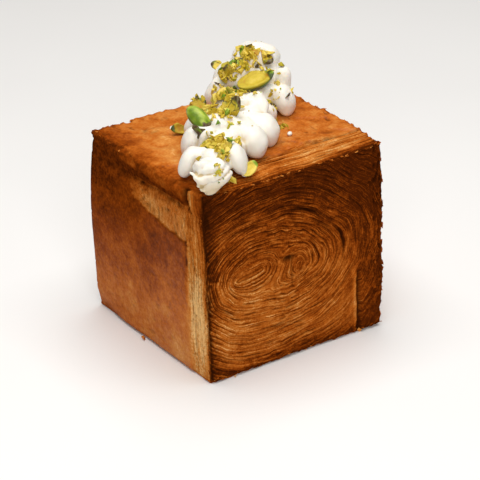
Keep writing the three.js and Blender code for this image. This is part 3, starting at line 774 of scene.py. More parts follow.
def shown_piece(name, mesh, material, slot, *nodes):
    """Puts a finished mesh in the scene, riding on the part, in place of solids."""
    mesh.name = name
    mesh.materials.clear()
    mesh.materials.append(material)
    mesh.shade_smooth()
    piece = bpy.data.objects.new(name, mesh)
    bpy.context.scene.collection.objects.link(piece)
    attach(piece, "root")
    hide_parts(*nodes)
    return piece


def to_row(points):
    """From the topping's frame to the part's, still in mm."""
    turn = np.array(Matrix.Rotation(LINE_ANGLE, 3, "Z"))
    return np.asarray(points) @ turn.T + CENTRE_SHIFT + np.array((0, 0, HEIGHT + GAP))


def laid_along(direction, facing, place):
    """The matrix that lays a kernel's length along one direction with its face looking another way."""
    length = Vector(direction).normalized()
    side = Vector(facing).cross(length).normalized()
    face = length.cross(side)
    turn = Matrix((length, side, face)).transposed()
    return Matrix.Translation(place) @ turn.to_4x4()


def add_chip(bm, place, size, turn, draw):
    """An angular chopped bit, as the hull of a few points."""
    spots = [Vector(draw.uniform(-0.5, 0.5, 3)).normalized() * draw.uniform(0.3, 0.55)
             for _ in range(CHIP_POINTS)]
    matrix = Matrix.Translation(place) @ turn.to_4x4() @ Matrix.Diagonal((*size, 1))
    verts = [bm.verts.new(matrix @ spot) for spot in spots]
    bmesh.ops.convex_hull(bm, input=verts)
    inside = [vert for vert in verts if not vert.link_faces]
    bmesh.ops.delete(bm, geom=inside, context="VERTS")
    return [vert for vert in verts if vert.is_valid]


def laid_surface(names):
    """The meshes of finished pieces as one tree to drop things on."""
    points, faces = [], []
    for name in names:
        mesh = bpy.data.objects[name].data
        start = len(points)
        points.extend(vert.co for vert in mesh.vertices)
        faces.extend([start + corner for corner in face.vertices] for face in mesh.polygons)
    return BVHTree.FromPolygons(points, faces)


# Materials

def join(tree, socket, value):
    """Sets a socket to a value, or links it to another socket."""
    if isinstance(value, bpy.types.NodeSocket):
        tree.links.new(value, socket)
    else:
        socket.default_value = value


def add(tree, kind, settings=(), **inputs):
    node = tree.nodes.new(kind)
    for name, value in dict(settings).items():
        setattr(node, name, value)
    for name, value in inputs.items():
        join(tree, node.inputs[name.replace("_", " ")], value)
    return node


def mixed(tree, factor, first, second):
    node = add(tree, "ShaderNodeMix", {"data_type": "RGBA"})
    for index, value in ((0, factor), (6, first), (7, second)):  # the sockets that mix colours
        join(tree, node.inputs[index], value)
    return node.outputs[2]


def calc(tree, operation, *terms, clamp=False):
    node = add(tree, "ShaderNodeMath", {"operation": operation, "use_clamp": clamp})
    for socket, term in zip(node.inputs, terms):
        join(tree, socket, term)
    return node.outputs[0]


def value_of(tree, name):
    return add(tree, "ShaderNodeAttribute", {"attribute_name": name}).outputs["Fac"]


def object_place(tree):
    return add(tree, "ShaderNodeTexCoord").outputs["Object"]


def new_group(name, inputs, output):
    """An empty shader group, with the sockets of its two ends."""
    tree = bpy.data.node_groups.new(name, "ShaderNodeTree")
    for socket, default in inputs.items():
        entry = tree.interface.new_socket(socket, in_out="INPUT", socket_type="NodeSocketFloat")
        entry.default_value = default
    tree.interface.new_socket(output, in_out="OUTPUT", socket_type="NodeSocketFloat")
    return tree, add(tree, "NodeGroupInput").outputs, add(tree, "NodeGroupOutput").inputs[output]


def mottle_group():
    """A mask of soft patches, from Object coordinates."""
    sockets = {"Scale": 300.0, "Detail": 3.0, "Low": 0.35, "High": 0.65}
    tree, given, mask = new_group("Mottle", sockets, "Mask")
    noise = add(tree, "ShaderNodeTexNoise", Vector=object_place(tree), Scale=given["Scale"],
                Detail=given["Detail"])
    spread = add(tree, "ShaderNodeMapRange", Value=noise.outputs["Fac"], From_Min=given["Low"],
                 From_Max=given["High"])
    tree.links.new(spread.outputs["Result"], mask)
    return tree


def grain_group():
    """Fine crumbly relief, from Object coordinates."""
    tree, given, relief = new_group("Grain", {"Scale": 900.0}, "Height")
    where = object_place(tree)
    coarse = add(tree, "ShaderNodeTexNoise", Vector=where, Scale=given["Scale"], Detail=5.0)
    pores = add(tree, "ShaderNodeTexVoronoi", Vector=where, Scale=calc(tree, "MULTIPLY", given["Scale"], 2.2))
    height = calc(tree, "MULTIPLY_ADD", pores.outputs["Distance"], 0.5, coarse.outputs["Fac"])
    tree.links.new(height, relief)
    return tree


def mottle(tree, scale, low=0.35, high=0.65, detail=3.0):
    group = bpy.data.node_groups.get("Mottle") or mottle_group()
    node = add(tree, "ShaderNodeGroup", {"node_tree": group}, Scale=scale, Low=low, High=high, Detail=detail)
    return node.outputs["Mask"]


def grain(tree, scale):
    group = bpy.data.node_groups.get("Grain") or grain_group()
    return add(tree, "ShaderNodeGroup", {"node_tree": group}, Scale=scale).outputs["Height"]


def ramp(tree, factor, stops):
    """Colours along a scale from 0 to 1, each a position and a colour."""
    node = add(tree, "ShaderNodeValToRGB", Fac=factor)
    elements = node.color_ramp.elements
    while len(elements) < len(stops):
        elements.new(1.0)
    for element, (position, colour) in zip(elements, stops):
        element.position, element.color = position, rgba(colour)
    return node.outputs["Color"]


def new_material(name):
    material = bpy.data.materials.new(name)
    material.use_nodes = True
    return material, material.node_tree, material.node_tree.nodes["Principled BSDF"]


def bumped(tree, shader, height, strength, distance):
    bump = add(tree, "ShaderNodeBump", Height=height, Strength=strength, Distance=distance)
    tree.links.new(bump.outputs["Normal"], shader.inputs["Normal"])


def layer_position(tree):
    """How many layers out a place is. The turn round the roll counts only on its ends."""
    up = calc(tree, "SUBTRACT", value_of(tree, "roll_z"), NOTCH_Z)
    across = calc(tree, "SUBTRACT", value_of(tree, "roll_x"), NOTCH_X)
    turn = calc(tree, "MULTIPLY", calc(tree, "ARCTAN2", up, across), -LAYERS_PER_TURN / (2 * math.pi))
    return calc(tree, "ADD", value_of(tree, "lines"), calc(tree, "MULTIPLY", turn, value_of(tree, "ends")))


def hairlines(tree, position, count, seed):
    """Thin broken lines along the layers, that many to a layer."""
    many = calc(tree, "MULTIPLY_ADD", position, count, seed)
    line = calc(tree, "PINGPONG", many, 0.5)
    thin = add(tree, "ShaderNodeMapRange", Value=line, From_Min=0.3, From_Max=0.48).outputs["Result"]
    own = add(tree, "ShaderNodeCombineXYZ", Z=calc(tree, "MULTIPLY", calc(tree, "FLOOR", many), 3.7))
    spot = add(tree, "ShaderNodeVectorMath", {"operation": "MULTIPLY_ADD"})
    for socket, term in zip(spot.inputs, (object_place(tree), (190.0, 190.0, 190.0), own.outputs["Vector"])):
        join(tree, socket, term)
    noise = add(tree, "ShaderNodeTexNoise", Vector=spot.outputs["Vector"], Scale=1.0, Detail=2.0)
    broken = add(tree, "ShaderNodeMapRange", Value=noise.outputs["Fac"], From_Min=0.38, From_Max=0.68)
    return calc(tree, "MULTIPLY", thin, broken.outputs["Result"])


def baked_crust(settings):
    """Pale bare dough to dark crust by its browning, almost black in the grooves and where shade is painted
    into gaps, holes, cracks and under the lip, glossy on the skin.
    """
    material, tree, shader = new_material("baked_crust")
    bare = calc(tree, "SUBTRACT", 1.0, value_of(tree, "skin"))
    position = layer_position(tree)
    fine = calc(tree, "MULTIPLY", hairlines(tree, position, 2.0, 0.3), bare)
    # thin pale lines along the layers, partly painted highlights on the layer edges
    pale_lines_and_highlights = calc(tree, "MULTIPLY", hairlines(tree, position, 3.0, 0.7), bare)
    patches = mottle(tree, 420.0, 0.3, 0.7, 5.0)
    speckle = calc(tree, "MULTIPLY", mottle(tree, 2300.0, 0.3, 0.7, 2.0), bare)
    crumb = mottle(tree, 1150.0, 0.35, 0.65, 1.0)
    browning = value_of(tree, "tone")
    for mask, share in ((patches, 0.16), (fine, 0.46), (pale_lines_and_highlights, -0.34), (speckle, 0.12), (crumb, 0.11)):
        browning = calc(tree, "MULTIPLY_ADD", mask, share, browning)
    browning = calc(tree, "SUBTRACT", browning, 0.18, clamp=True)
    colour = ramp(tree, browning, (
        (0.0, settings.pale), (0.25, settings.tan), (0.5, settings.golden), (0.75, settings.brown),
        (1.0, settings.dark)))
    # near black between the layers, and as painted shade in gaps, holes, cracks, pits and under the lip
    groove_and_shade = calc(tree, "MULTIPLY", value_of(tree, "groove_and_shade"), 0.9, clamp=True)
    colour = mixed(tree, groove_and_shade, colour, rgba(settings.groove_and_shade))
    tree.links.new(colour, shader.inputs["Base Color"])
    worn = calc(tree, "MULTIPLY_ADD", mottle(tree, 700.0), 0.5, 0.5)
    tree.links.new(calc(tree, "MULTIPLY", value_of(tree, "gloss"), worn), shader.inputs["Coat Weight"])
    shader.inputs["Coat Roughness"].default_value = 0.3
    shader.inputs["Coat IOR"].default_value = 1.35
    shader.inputs["Roughness"].default_value = 0.8
    shader.inputs["Specular IOR Level"].default_value = 0.0
    height = calc(tree, "SUBTRACT", grain(tree, 1100.0), calc(tree, "MULTIPLY", fine, 0.8))
    bumped(tree, shader, height, 0.4, 0.0004)
    return material


def whipped_cream(settings):
    """Soft white with light that spreads inside, painted shade in the hollows and low on the near tip, and a
    yellow stain round the nuts.
    """
    material, tree, shader = new_material("whipped_cream")
    shade_stain_tint = calc(tree, "MULTIPLY_ADD", mottle(tree, 260.0, 0.4, 0.8), 0.14, value_of(tree, "hollow"))
    shade_stain_tint = calc(tree, "MULTIPLY", shade_stain_tint, 0.9, clamp=True)
    colour = mixed(tree, shade_stain_tint, rgba(settings.white), rgba(settings.shadow))
    tree.links.new(colour, shader.inputs["Base Color"])
    shader.inputs["Roughness"].default_value = 0.42
    shader.inputs["Specular IOR Level"].default_value = 0.25
    shader.inputs["Subsurface Weight"].default_value = 0.4
    shader.inputs["Subsurface Radius"].default_value = (1.0, 0.8, 0.6)
    shader.inputs["Subsurface Scale"].default_value = 0.8 * MM
    bumped(tree, shader, grain(tree, 900.0), 0.15, 0.0003)
    return material


def pistachio_nut(settings):
    """Yellow flesh where it is cut, green below the edge, and green skin with brown patches."""
    material, tree, shader = new_material("pistachio_nut")
    flesh, rim, brown, shade = (value_of(tree, name) for name in ("flesh", "rim", "brown", "shade"))
    # the shade value here includes painted light on the skin's top and side and painted shade in pits
    pale = calc(tree, "SUBTRACT", shade, 0.18)
    pale = calc(tree, "MULTIPLY_ADD", mottle(tree, 380.0, 0.3, 0.7), 0.36, pale)
    inside = ramp(tree, pale, (
        (0.0, settings.flesh_brown), (0.3, settings.flesh_ochre), (0.62, settings.flesh),
        (1.0, settings.flesh_pale)))
    skin = ramp(tree, pale, (
        (0.0, settings.skin_dark), (0.5, settings.skin), (1.0, settings.skin_pale)))
    inside = mixed(tree, rim, inside, rgba(settings.skin_olive))
    dried = mixed(tree, mottle(tree, 800.0, 0.4, 0.6), rgba(settings.skin_brown), rgba(settings.skin_grey))
    skin = mixed(tree, brown, skin, dried)
    tree.links.new(mixed(tree, flesh, skin, inside), shader.inputs["Base Color"])
    tree.links.new(calc(tree, "MULTIPLY_ADD", flesh, 0.25, 0.33), shader.inputs["Roughness"])
    shader.inputs["Specular IOR Level"].default_value = 0.3
    shader.inputs["Subsurface Weight"].default_value = 0.1
    shader.inputs["Subsurface Radius"].default_value = (0.8, 0.8, 0.2)
    shader.inputs["Subsurface Scale"].default_value = 0.6 * MM
    bumped(tree, shader, grain(tree, 1300.0), 0.3, 0.0003)
    return material


def pale_floor(settings):
    material, tree, shader = new_material("pale_floor")
    dimmer = [0.97 * part for part in settings.floor]
    tone = mixed(tree, mottle(tree, 6.0, 0.3, 0.7), rgba(settings.floor), rgba(dimmer))
    tree.links.new(tone, shader.inputs["Base Color"])
    shader.inputs["Roughness"].default_value = 0.55
    return material


# What a user would change

def colour_property(name, description, default):
    return FloatVectorProperty(name=name, description=description, default=srgb(*default), subtype="COLOR",
                               min=0.0, max=1.0)


class CROISSANT_PG_pastry(bpy.types.PropertyGroup):
    cell: FloatProperty(name="Cell", description="Size of one mesh cell on the rolled ends",
                        default=0.3 * MM, unit="LENGTH", precision=5)
    triangles: IntProperty(name="Triangles", description="The most triangles that the block keeps",
                           default=190000)
    pale: colour_property("Pale", "Bare dough that hardly browned", (238, 190, 124))
    tan: colour_property("Tan", "Bare dough", (206, 134, 62))
    golden: colour_property("Golden", "Golden crust", (184, 98, 30))
    brown: colour_property("Brown", "Well-baked crust", (138, 62, 11))
    dark: colour_property("Dark", "Darkest crust", (78, 31, 5))
    # near black of the gaps between layers, also the colour of painted shade in recesses
    groove_and_shade: colour_property("Groove", "Between the layers", (46, 18, 3))


class CROISSANT_PG_cream(bpy.types.PropertyGroup):
    voxel: FloatProperty(name="Voxel", description="Size of the cells that the lobes are joined with",
                         default=0.36 * MM, unit="LENGTH", precision=5)
    white: colour_property("White", "Cream in the open", (240, 235, 224))
    # the colour of painted shade on the cream, also of its stain round the nuts
    shadow: colour_property("Hollow", "Cream in the hollows", (206, 182, 136))


class CROISSANT_PG_nuts(bpy.types.PropertyGroup):
    voxel: FloatProperty(name="Voxel", description="Size of the mesh cells of a kernel",
                         default=0.22 * MM, unit="LENGTH", precision=5)
    loose: IntProperty(name="Loose Bits", description="Number of fine bits strewn along the cream",
                       default=40)
    flesh: colour_property("Flesh", "Cut flesh", (205, 178, 50))
    flesh_pale: colour_property("Pale Flesh", "Palest flesh", (235, 208, 100))
    flesh_ochre: colour_property("Ochre Flesh", "Darker flesh", (184, 152, 28))
    # also the colour of painted shade in the pits of crumbly kernels
    flesh_brown: colour_property("Toasted Flesh", "Flesh that browned", (182, 104, 30))
    skin: colour_property("Skin", "Green skin", (106, 136, 24))
    # the pale and dark skin colours also serve as painted light and shade on the kernels' lit and shaded
    # sides
    skin_pale: colour_property("Pale Skin", "Lighter streaks of the skin", (176, 194, 72))
    skin_dark: colour_property("Dark Skin", "Darker parts of the skin", (58, 74, 16))
    skin_olive: colour_property("Olive Flesh", "Flesh just below the skin", (168, 156, 32))
    skin_brown: colour_property("Brown Skin", "Dried skin", (78, 50, 30))
    skin_grey: colour_property("Grey Skin", "Dried skin that kept some green", (104, 94, 60))


class CROISSANT_PG_stage(bpy.types.PropertyGroup):
    floor: colour_property("Floor", "Colour of the floor", (245, 243, 240))
    overhead: FloatProperty(name="Overhead Light", description="Power of the softbox above",
                            default=6.2, unit="POWER")
    front: FloatProperty(name="Front Light", description="Power of the softbox in front",
                         default=5.0, unit="POWER")
    ambient: FloatProperty(name="Ambient", description="Strength of the light from all round", default=0.14)


# Pieces

class CROISSANT_OT_pastry(bpy.types.Operator):
    """Bake the block: crust, bare layers and rolled ends"""
    bl_idname = "croissant.pastry"
    bl_label = "Pastry Block"

    def execute(self, context):
        settings, seeds = context.scene.croissant_pastry, NOISE_SEEDS
        cell = settings.cell / MM
        bm = gridded_cube((round(WIDTH / cell), round(DEPTH / cell / CELL_STRETCH), round(HEIGHT / cell)))
        mesh = mesh_of("pastry_block", bm)
        cube = places(mesh)
        part = (1 + cube[:, 1]) / 2
        cube[:, 1] = 2 * (EVEN_CELLS * part + (1 - EVEN_CELLS) * part ** 2) - 1
        point, facing, from_end = crust(cube)

        total = {name: np.zeros(len(point)) for name in CRUST_VALUES}
        fields = (
            (0, -1, lambda chosen: side_wall(point[chosen], from_end[chosen], seeds["left"], True)),
            (0, 1, lambda chosen: side_wall(point[chosen], from_end[chosen], seeds["right"], False)),
            (1, -1, lambda chosen: rolled_end(point[chosen], seeds["front"], True)),
            (1, 1, lambda chosen: rolled_end(point[chosen], seeds["back"], False)),
            (2, -1, lambda chosen: underside(point[chosen], seeds["underside"])),
            (2, 1, lambda chosen: top_crust(point[chosen], from_end[chosen], seeds["top"])),
        )
        for axis, side, field in fields:
            share = zero_to_one(side * facing[:, axis]) ** 2
            chosen = share > FAINT
            for name, values in field(chosen).items():
                total[name][chosen] += share[chosen] * values
        frayed, edge_browning_and_shade = frayed_edges(point, facing, seeds["edges"])
        total["groove_and_shade"] += edge_browning_and_shade
        point = point + facing * (total["relief"] + frayed)[:, None]
        point[:, 2] = np.maximum(point[:, 2], 0)
        move_to(mesh, (point + CENTRE_SHIFT) * MM)
        for name in ("groove_and_shade", "tone", "skin"):
            total[name] = zero_to_one(total[name])
        del total["relief"]
        write_values(mesh, **total)
        share = settings.triangles / (2 * len(mesh.polygons))
        mesh = with_modifiers_applied(mesh, ("DECIMATE", {"ratio": min(1.0, share)}))
        shown_piece("pastry_block", mesh, baked_crust(settings), "crust", "pastry")
        return {"FINISHED"}


class CROISSANT_OT_flakes(bpy.types.Operator):
    """Leave loose flakes and crumbs along the edges of the block"""
    bl_idname = "croissant.flakes"
    bl_label = "Flakes and Crumbs"

    def execute(self, context):
        block = laid_surface(["pastry_block"])
        draw = np.random.default_rng(RANDOM_SEED)
        bm = bmesh.new()
        tones = []

        def flake(place, size, direction, tone):
            along = direction + Vector(draw.uniform(-0.4, 0.4, 3))
            turn = laid_along(along, draw.uniform(-1, 1, 3), (0, 0, 0)).to_3x3()
            count = len(add_chip(bm, place, size, turn, draw))
            tones.extend([tone] * count)

        shift = Vector(CENTRE_SHIFT)
        for start, end, count, small, large, palest, darkest in FLAKE_EDGES:
            edge = (Vector(end) - Vector(start)).normalized()
            for part in draw.uniform(0, 1, count):
                near = Vector(start).lerp(Vector(end), part) + shift
                place = block.find_nearest(near * MM)[0] / MM
                size = draw.uniform(small, large) * draw.uniform(*FLAKE_FORM)
                place += (place - near).normalized() * FLAKE_SUNK * size[1]
                place.z = max(place.z, size[2] / 2)
                flake(place, size, edge, draw.uniform(palest, darkest))
        for place, size, tone in CRUMBS:
            flake(Vector(place) + shift, size, Vector((1, 0, 0)), tone)
        mesh = mesh_of("crust_flakes", bm)
        point = places(mesh)
        point[:, 2] = np.maximum(point[:, 2], 0)
        move_to(mesh, point * MM)
        write_values(mesh, tone=tones, skin=np.full(len(tones), FLAKE_SKIN))
        piece = shown_piece("crust_flakes", mesh, bpy.data.materials["baked_crust"], "crust", "pastry")
        piece.data.shade_flat()
        return {"FINISHED"}


def add_lobe(bm, place, radii, lean=0.0, pitch=0.0):
    turn = Matrix.Rotation(lean, 4, "X") @ Matrix.Rotation(pitch, 4, "Y")
    matrix = Matrix.Translation(place) @ turn @ Matrix.Diagonal((*radii, 1))
    return bmesh.ops.create_uvsphere(bm, u_segments=32, v_segments=20, radius=1, matrix=matrix)["verts"]


def add_scallop(bm, along, out, radii):
    """A bulb at the side of the line, with a neck that thins as it rises to the crest."""
    lean = math.copysign(LOBE_LEAN, out)
    for step in range(NECK_STEPS + 1):
        part = step / NECK_STEPS
        place = (along, out * (1 - NECK_IN * part), SIDE_LOBE_RISE + NECK_RISE * part)
        add_lobe(bm, place, [radius * (1 - NECK_TAPER * part) for radius in radii], lean)


def add_tier(bm, tier, turn):
    x, y, z, radius, height = tier
    for vert in add_lobe(bm, (x, y, z), (radius, radius, height)):
        angle = math.atan2(vert.co.y - y, vert.co.x - x)
        ripple = 1 + MOUND_LOBE_DEPTH * math.cos(MOUND_LOBES * angle + turn)
        vert.co.x = x + (vert.co.x - x) * ripple
        vert.co.y = y + (vert.co.y - y) * ripple


def near_tip(along, across):
    """From 0 to 1 where the ragged tip of the cream is."""
    return smooth(*TIP_ALONG, along) * smooth(*TIP_ACROSS, across)


def hollowness(mesh, rounds):
    """How far each point lies below the middle of what is round it, in the mesh's units."""
    point = places(mesh)
    ends = np.zeros(2 * len(mesh.edges), np.int32)
    mesh.edges.foreach_get("vertices", ends)
    near, far = np.concatenate((ends.reshape(-1, 2), ends.reshape(-1, 2)[:, ::-1])).T
    count = np.maximum(np.bincount(near, minlength=len(point)), 1)
    for _ in range(rounds):
        point = np.column_stack([np.bincount(near, part[far], len(point)) / count for part in point.T])
    return np.einsum("ij,ij->i", point - places(mesh), facings(mesh))


def pressed_under(points, tree, clearance, cover):
    """The points inside things, or just above them, moved straight down to below them."""
    up, down = Vector((0, 0, 1)), Vector((0, 0, -1))
    low, high = points[:, 2].min() - cover, points[:, 2].max() + cover
    for i, (x, y, z) in enumerate(points):
        under = tree.ray_cast(Vector((x, y, low)), up)[0]
        if under is not None and z > under.z - clearance:
            over = tree.ray_cast(Vector((x, y, high)), down)[0]
            if z < over.z + cover:
                points[i, 2] = under.z - clearance
    return points


def roughened(point, facing):
    """The points of the lobes, with soft dents, a ragged crest and a near tip that folds and narrows."""
    along, across, up = point.T
    seed = NOISE_SEEDS["cream"]
    tip = near_tip(along, across)
    ridge = smooth(-10, -5, along) * smooth(10, 7, along) * bell(across + 4.5, 4.5)
    middle = bell(across, 5.0) * smooth(-31, -25, along) * smooth(22, 12, along)
    ragged = np.maximum(np.maximum(tip, ridge), 0.7 * middle) * smooth(2, 6, up + 4 * tip)
    soft = 0.6 * cloud(point, 6, seed) + 0.22 * cloud(point, 2.6, seed + 1)
    rough = 2.2 * (crags(point, 5.0, seed + 2) - 0.7) + 0.4 * cloud(point, 1.9, seed + 3)
    rough += 0.5 * (crags(point, 2.2, seed + 4) - 0.6)
    folded = bell(up - 6.6 + 0.2 * across, 0.7) + bell(up - 3.0 + 0.4 * across, 0.6)
    move = soft * (1 - ragged) + rough * ragged * (1 - 0.4 * tip) - 0.7 * tip * folded
    moved = point + facing * move[:, None]
    narrow = TIP_NARROWING * smooth(-40, -43, along) * smooth(5.5, -0.5, up)
    moved[:, 1] -= narrow * (moved[:, 1] - TIP_MIDDLE)
    return moved


def painted_shade_and_stain(mesh):
    """How much painted shade the cream has, in its hollows and low on the near tip, and how much yellow stain
    it has round the heaps of nuts.
    """
    hollow = 0.4 * smooth(0.02, 0.16, hollowness(mesh, 3))
    hollow += 0.75 * smooth(0.0, 0.5, hollowness(mesh, 20))
    along, across, up = places(mesh).T
    tip, low_down = near_tip(along, across), smooth(7.5, 0.5, up)
    # painted shade in the hollows and low on the near tip
    hollow = hollow * (1 + 0.8 * tip) + (0.08 + 0.7 * tip) * low_down
    stain = np.zeros(len(along))
    for x, y, reach, width, *_ in HEAPS:
        stain = np.maximum(stain, bell(np.hypot((along - x) / reach, (across - y) / width), 1.4))
    return np.maximum(hollow, 0.42 * stain)


class CROISSANT_OT_cream(bpy.types.Operator):
    """Pipe the cream along the diagonal of the top"""
    bl_idname = "croissant.cream"
    bl_label = "Piped Cream"

    def execute(self, context):
        settings = context.scene.croissant_cream
        bm = bmesh.new()
        for x, y, z, radii in CREST_LOBES:
            add_lobe(bm, (x, y, z), radii)
        for right, left, out, radii in SIDE_LOBES:
            add_scallop(bm, right, -out, radii)
            add_scallop(bm, left, out, radii)
        for x, y, z, radii, lean, pitch in FOLDS:
            add_lobe(bm, (x, y, z), radii, lean, pitch)
        for turn, tier in enumerate(MOUND_TIERS):
            add_tier(bm, tier, turn)
        mesh = with_modifiers_applied(
            mesh_of("piped_cream", bm),
            ("REMESH", {"mode": "VOXEL", "voxel_size": settings.voxel / MM}),
            ("SMOOTH", {"factor": 0.5, "iterations": 8}),
        )
        move_to(mesh, roughened(places(mesh), facings(mesh)))
        bm = bmesh.new()
        bm.from_mesh(mesh)
        cut_flat(bm, (0, 0, -CREAM_SUNK), (0, 0, -1))
        bmesh.ops.triangulate(bm, faces=[face for face in bm.faces if len(face.verts) > 4])
        bm.to_mesh(mesh)
        bm.free()
        cream_shade_and_stain = painted_shade_and_stain(mesh)
        nuts = laid_surface(NUT_PIECES)
        move_to(mesh, pressed_under(to_row(places(mesh)) * MM, nuts, GAP * MM, NUT_COVER * MM))
        write_values(mesh, hollow=cream_shade_and_stain)
        shown_piece("piped_cream", mesh, whipped_cream(settings), "cream", "cream")
        return {"FINISHED"}


def kernel(size, cut):
    """A kernel along X with its face to +Z, cut as it was chopped."""
    bm = bmesh.new()
    bmesh.ops.create_icosphere(bm, subdivisions=4, radius=0.5)
    for vert in bm.verts:
        slim = 1 - KERNEL_TAPER * (1 + 2 * vert.co.x) / 2
        vert.co = Vector((vert.co.x * size[0], vert.co.y * size[1] * slim, vert.co.z * size[2] * slim))
    for facing, offset in KERNEL_CUTS[cut]:
        normal = Vector(facing).normalized()
        cut_flat(bm, normal * offset * size[2], normal)
    return bm


def cut_depth(point, size, cut):
    """How far each point lies below the nearest cut."""
    depth = np.full(len(point), 99.0)
    for facing, offset in KERNEL_CUTS[cut]:
        normal = np.array(Vector(facing).normalized())
        depth = np.minimum(depth, offset * size[2] - point @ normal)
    return depth


def nearness_to_skin(point, size):
    """From 0 at the kernel's heart to 1 at its skin."""
    length, width, thickness = size
    slim = 1 - KERNEL_TAPER * (1 + 2 * point[:, 0] / length) / 2
    across = np.hypot(point[:, 1] / width, point[:, 2] / thickness) / slim
    return 2 * np.hypot(point[:, 0] / length, across)


def nut_surface(point, size, cut, seed, looks):
    """How far each point of a kernel moves out, and its flesh, green rim, dried skin and shade."""
    brown, crumbly, paleness, green = looks
    far_out = point[:, 0] / size[0] + 0.05 * cloud(point, 2.0, seed + 140)
    end = smooth(0.3, 0.38, far_out + 0.06 * (cut == "whole"))
    side, top = 2 * point[:, 1] / size[1], 2 * point[:, 2] / size[2]
    outward = nearness_to_skin(point, size)
    flesh = smooth(0.75, 0.25, cut_depth(point, size, cut)) * (1 - end)
    veins = smooth(0.9, 0.98, crags(point * (0.5, 1, 1), 2.6, seed + 160)) * smooth(0.5, 0.9, brown)
    rim = green + (0.7 - green) * smooth(0.84, 1.0, outward + 0.1 * cloud(point, 1.6, seed + 120))
    ring = 0.35 * bell(outward - 0.6, 0.05) * smooth(0.3, 0.0, crumbly)
    dished = flesh * smooth(0.9, 0.5, outward)
    pits = 0.75 - crags(point, 2.6, seed + 40) + 0.4 * (0.7 - crags(point, 1.2, seed + 42))
    pits *= 0.5 + 0.5 * flesh
    wrinkles = cloud(point * (0.4, 1, 1), 1.3, seed + 20)
    move = 0.25 * cloud(point, 3.5, seed) + 0.1 * wrinkles - 0.25 * dished - crumbly * pits
    patches = cloud(point, 3.0, seed + 60) + 0.5 * wrinkles - 0.5 * top
    patches += 1.5 * end if cut == "whole" else (2 * brown - 1) * end
    dried = smooth(1.1 - 1.5 * brown, 1.6 - 1.5 * brown, patches)
    # darker in the pits of crumbly kernels as painted shade
    shade = paleness + 0.2 * cloud(point, 4, seed + 100) - 0.7 * crumbly * pits - ring
    # painted light and shade on the skin: lighter on the kernel's top and one side, darker on the other, plus
    # streaks along the wrinkles
    shade += (1 - flesh) * (0.4 * top + 0.45 * side + 0.5 * wrinkles)
    if KERNEL_CUTS[cut]:
        shade -= 0.35 * end
    return move, {"flesh": flesh * (1 - veins), "rim": rim, "brown": np.maximum(dried, veins), "shade": shade}


class CROISSANT_OT_pistachios(bpy.types.Operator):
    """Lay the large pistachio pieces on the cream and the crust"""
    bl_idname = "croissant.pistachios"
    bl_label = "Pistachio Pieces"

    def execute(self, context):
        settings = context.scene.croissant_nuts
        material = pistachio_nut(settings)
        for seed, nut in enumerate(PISTACHIOS, NOISE_SEEDS["nuts"]):
            node, size, cut, place, direction, facing = nut
            mesh = with_modifiers_applied(
                mesh_of(node, kernel(size, cut)),
                ("REMESH", {"mode": "VOXEL", "voxel_size": settings.voxel / MM}),
                ("SMOOTH", {"factor": 0.5, "iterations": 2}),
            )
            point, normal = places(mesh), facings(mesh)
            move, values = nut_surface(point, size, cut, seed, NUT_LOOKS[node])
            lie = np.array(laid_along(direction, facing, place))
            moved = point + normal * move[:, None]
            move_to(mesh, to_row(moved @ lie[:3, :3].T + lie[:3, 3]) * MM)
            write_values(mesh, **values)
            slot = "nut_skin" if cut == "whole" else "nut_flesh"
            shown_piece(node + "_nut", mesh, material, slot, node)
        return {"FINISHED"}


def seeded_draws(seed):
    """The same numbers from 0 to 1 as the solid's bits are laid with."""
    state = seed
    while True:
        state = state * RANDOM_STEP % RANDOM_RANGE
        yield state / RANDOM_RANGE


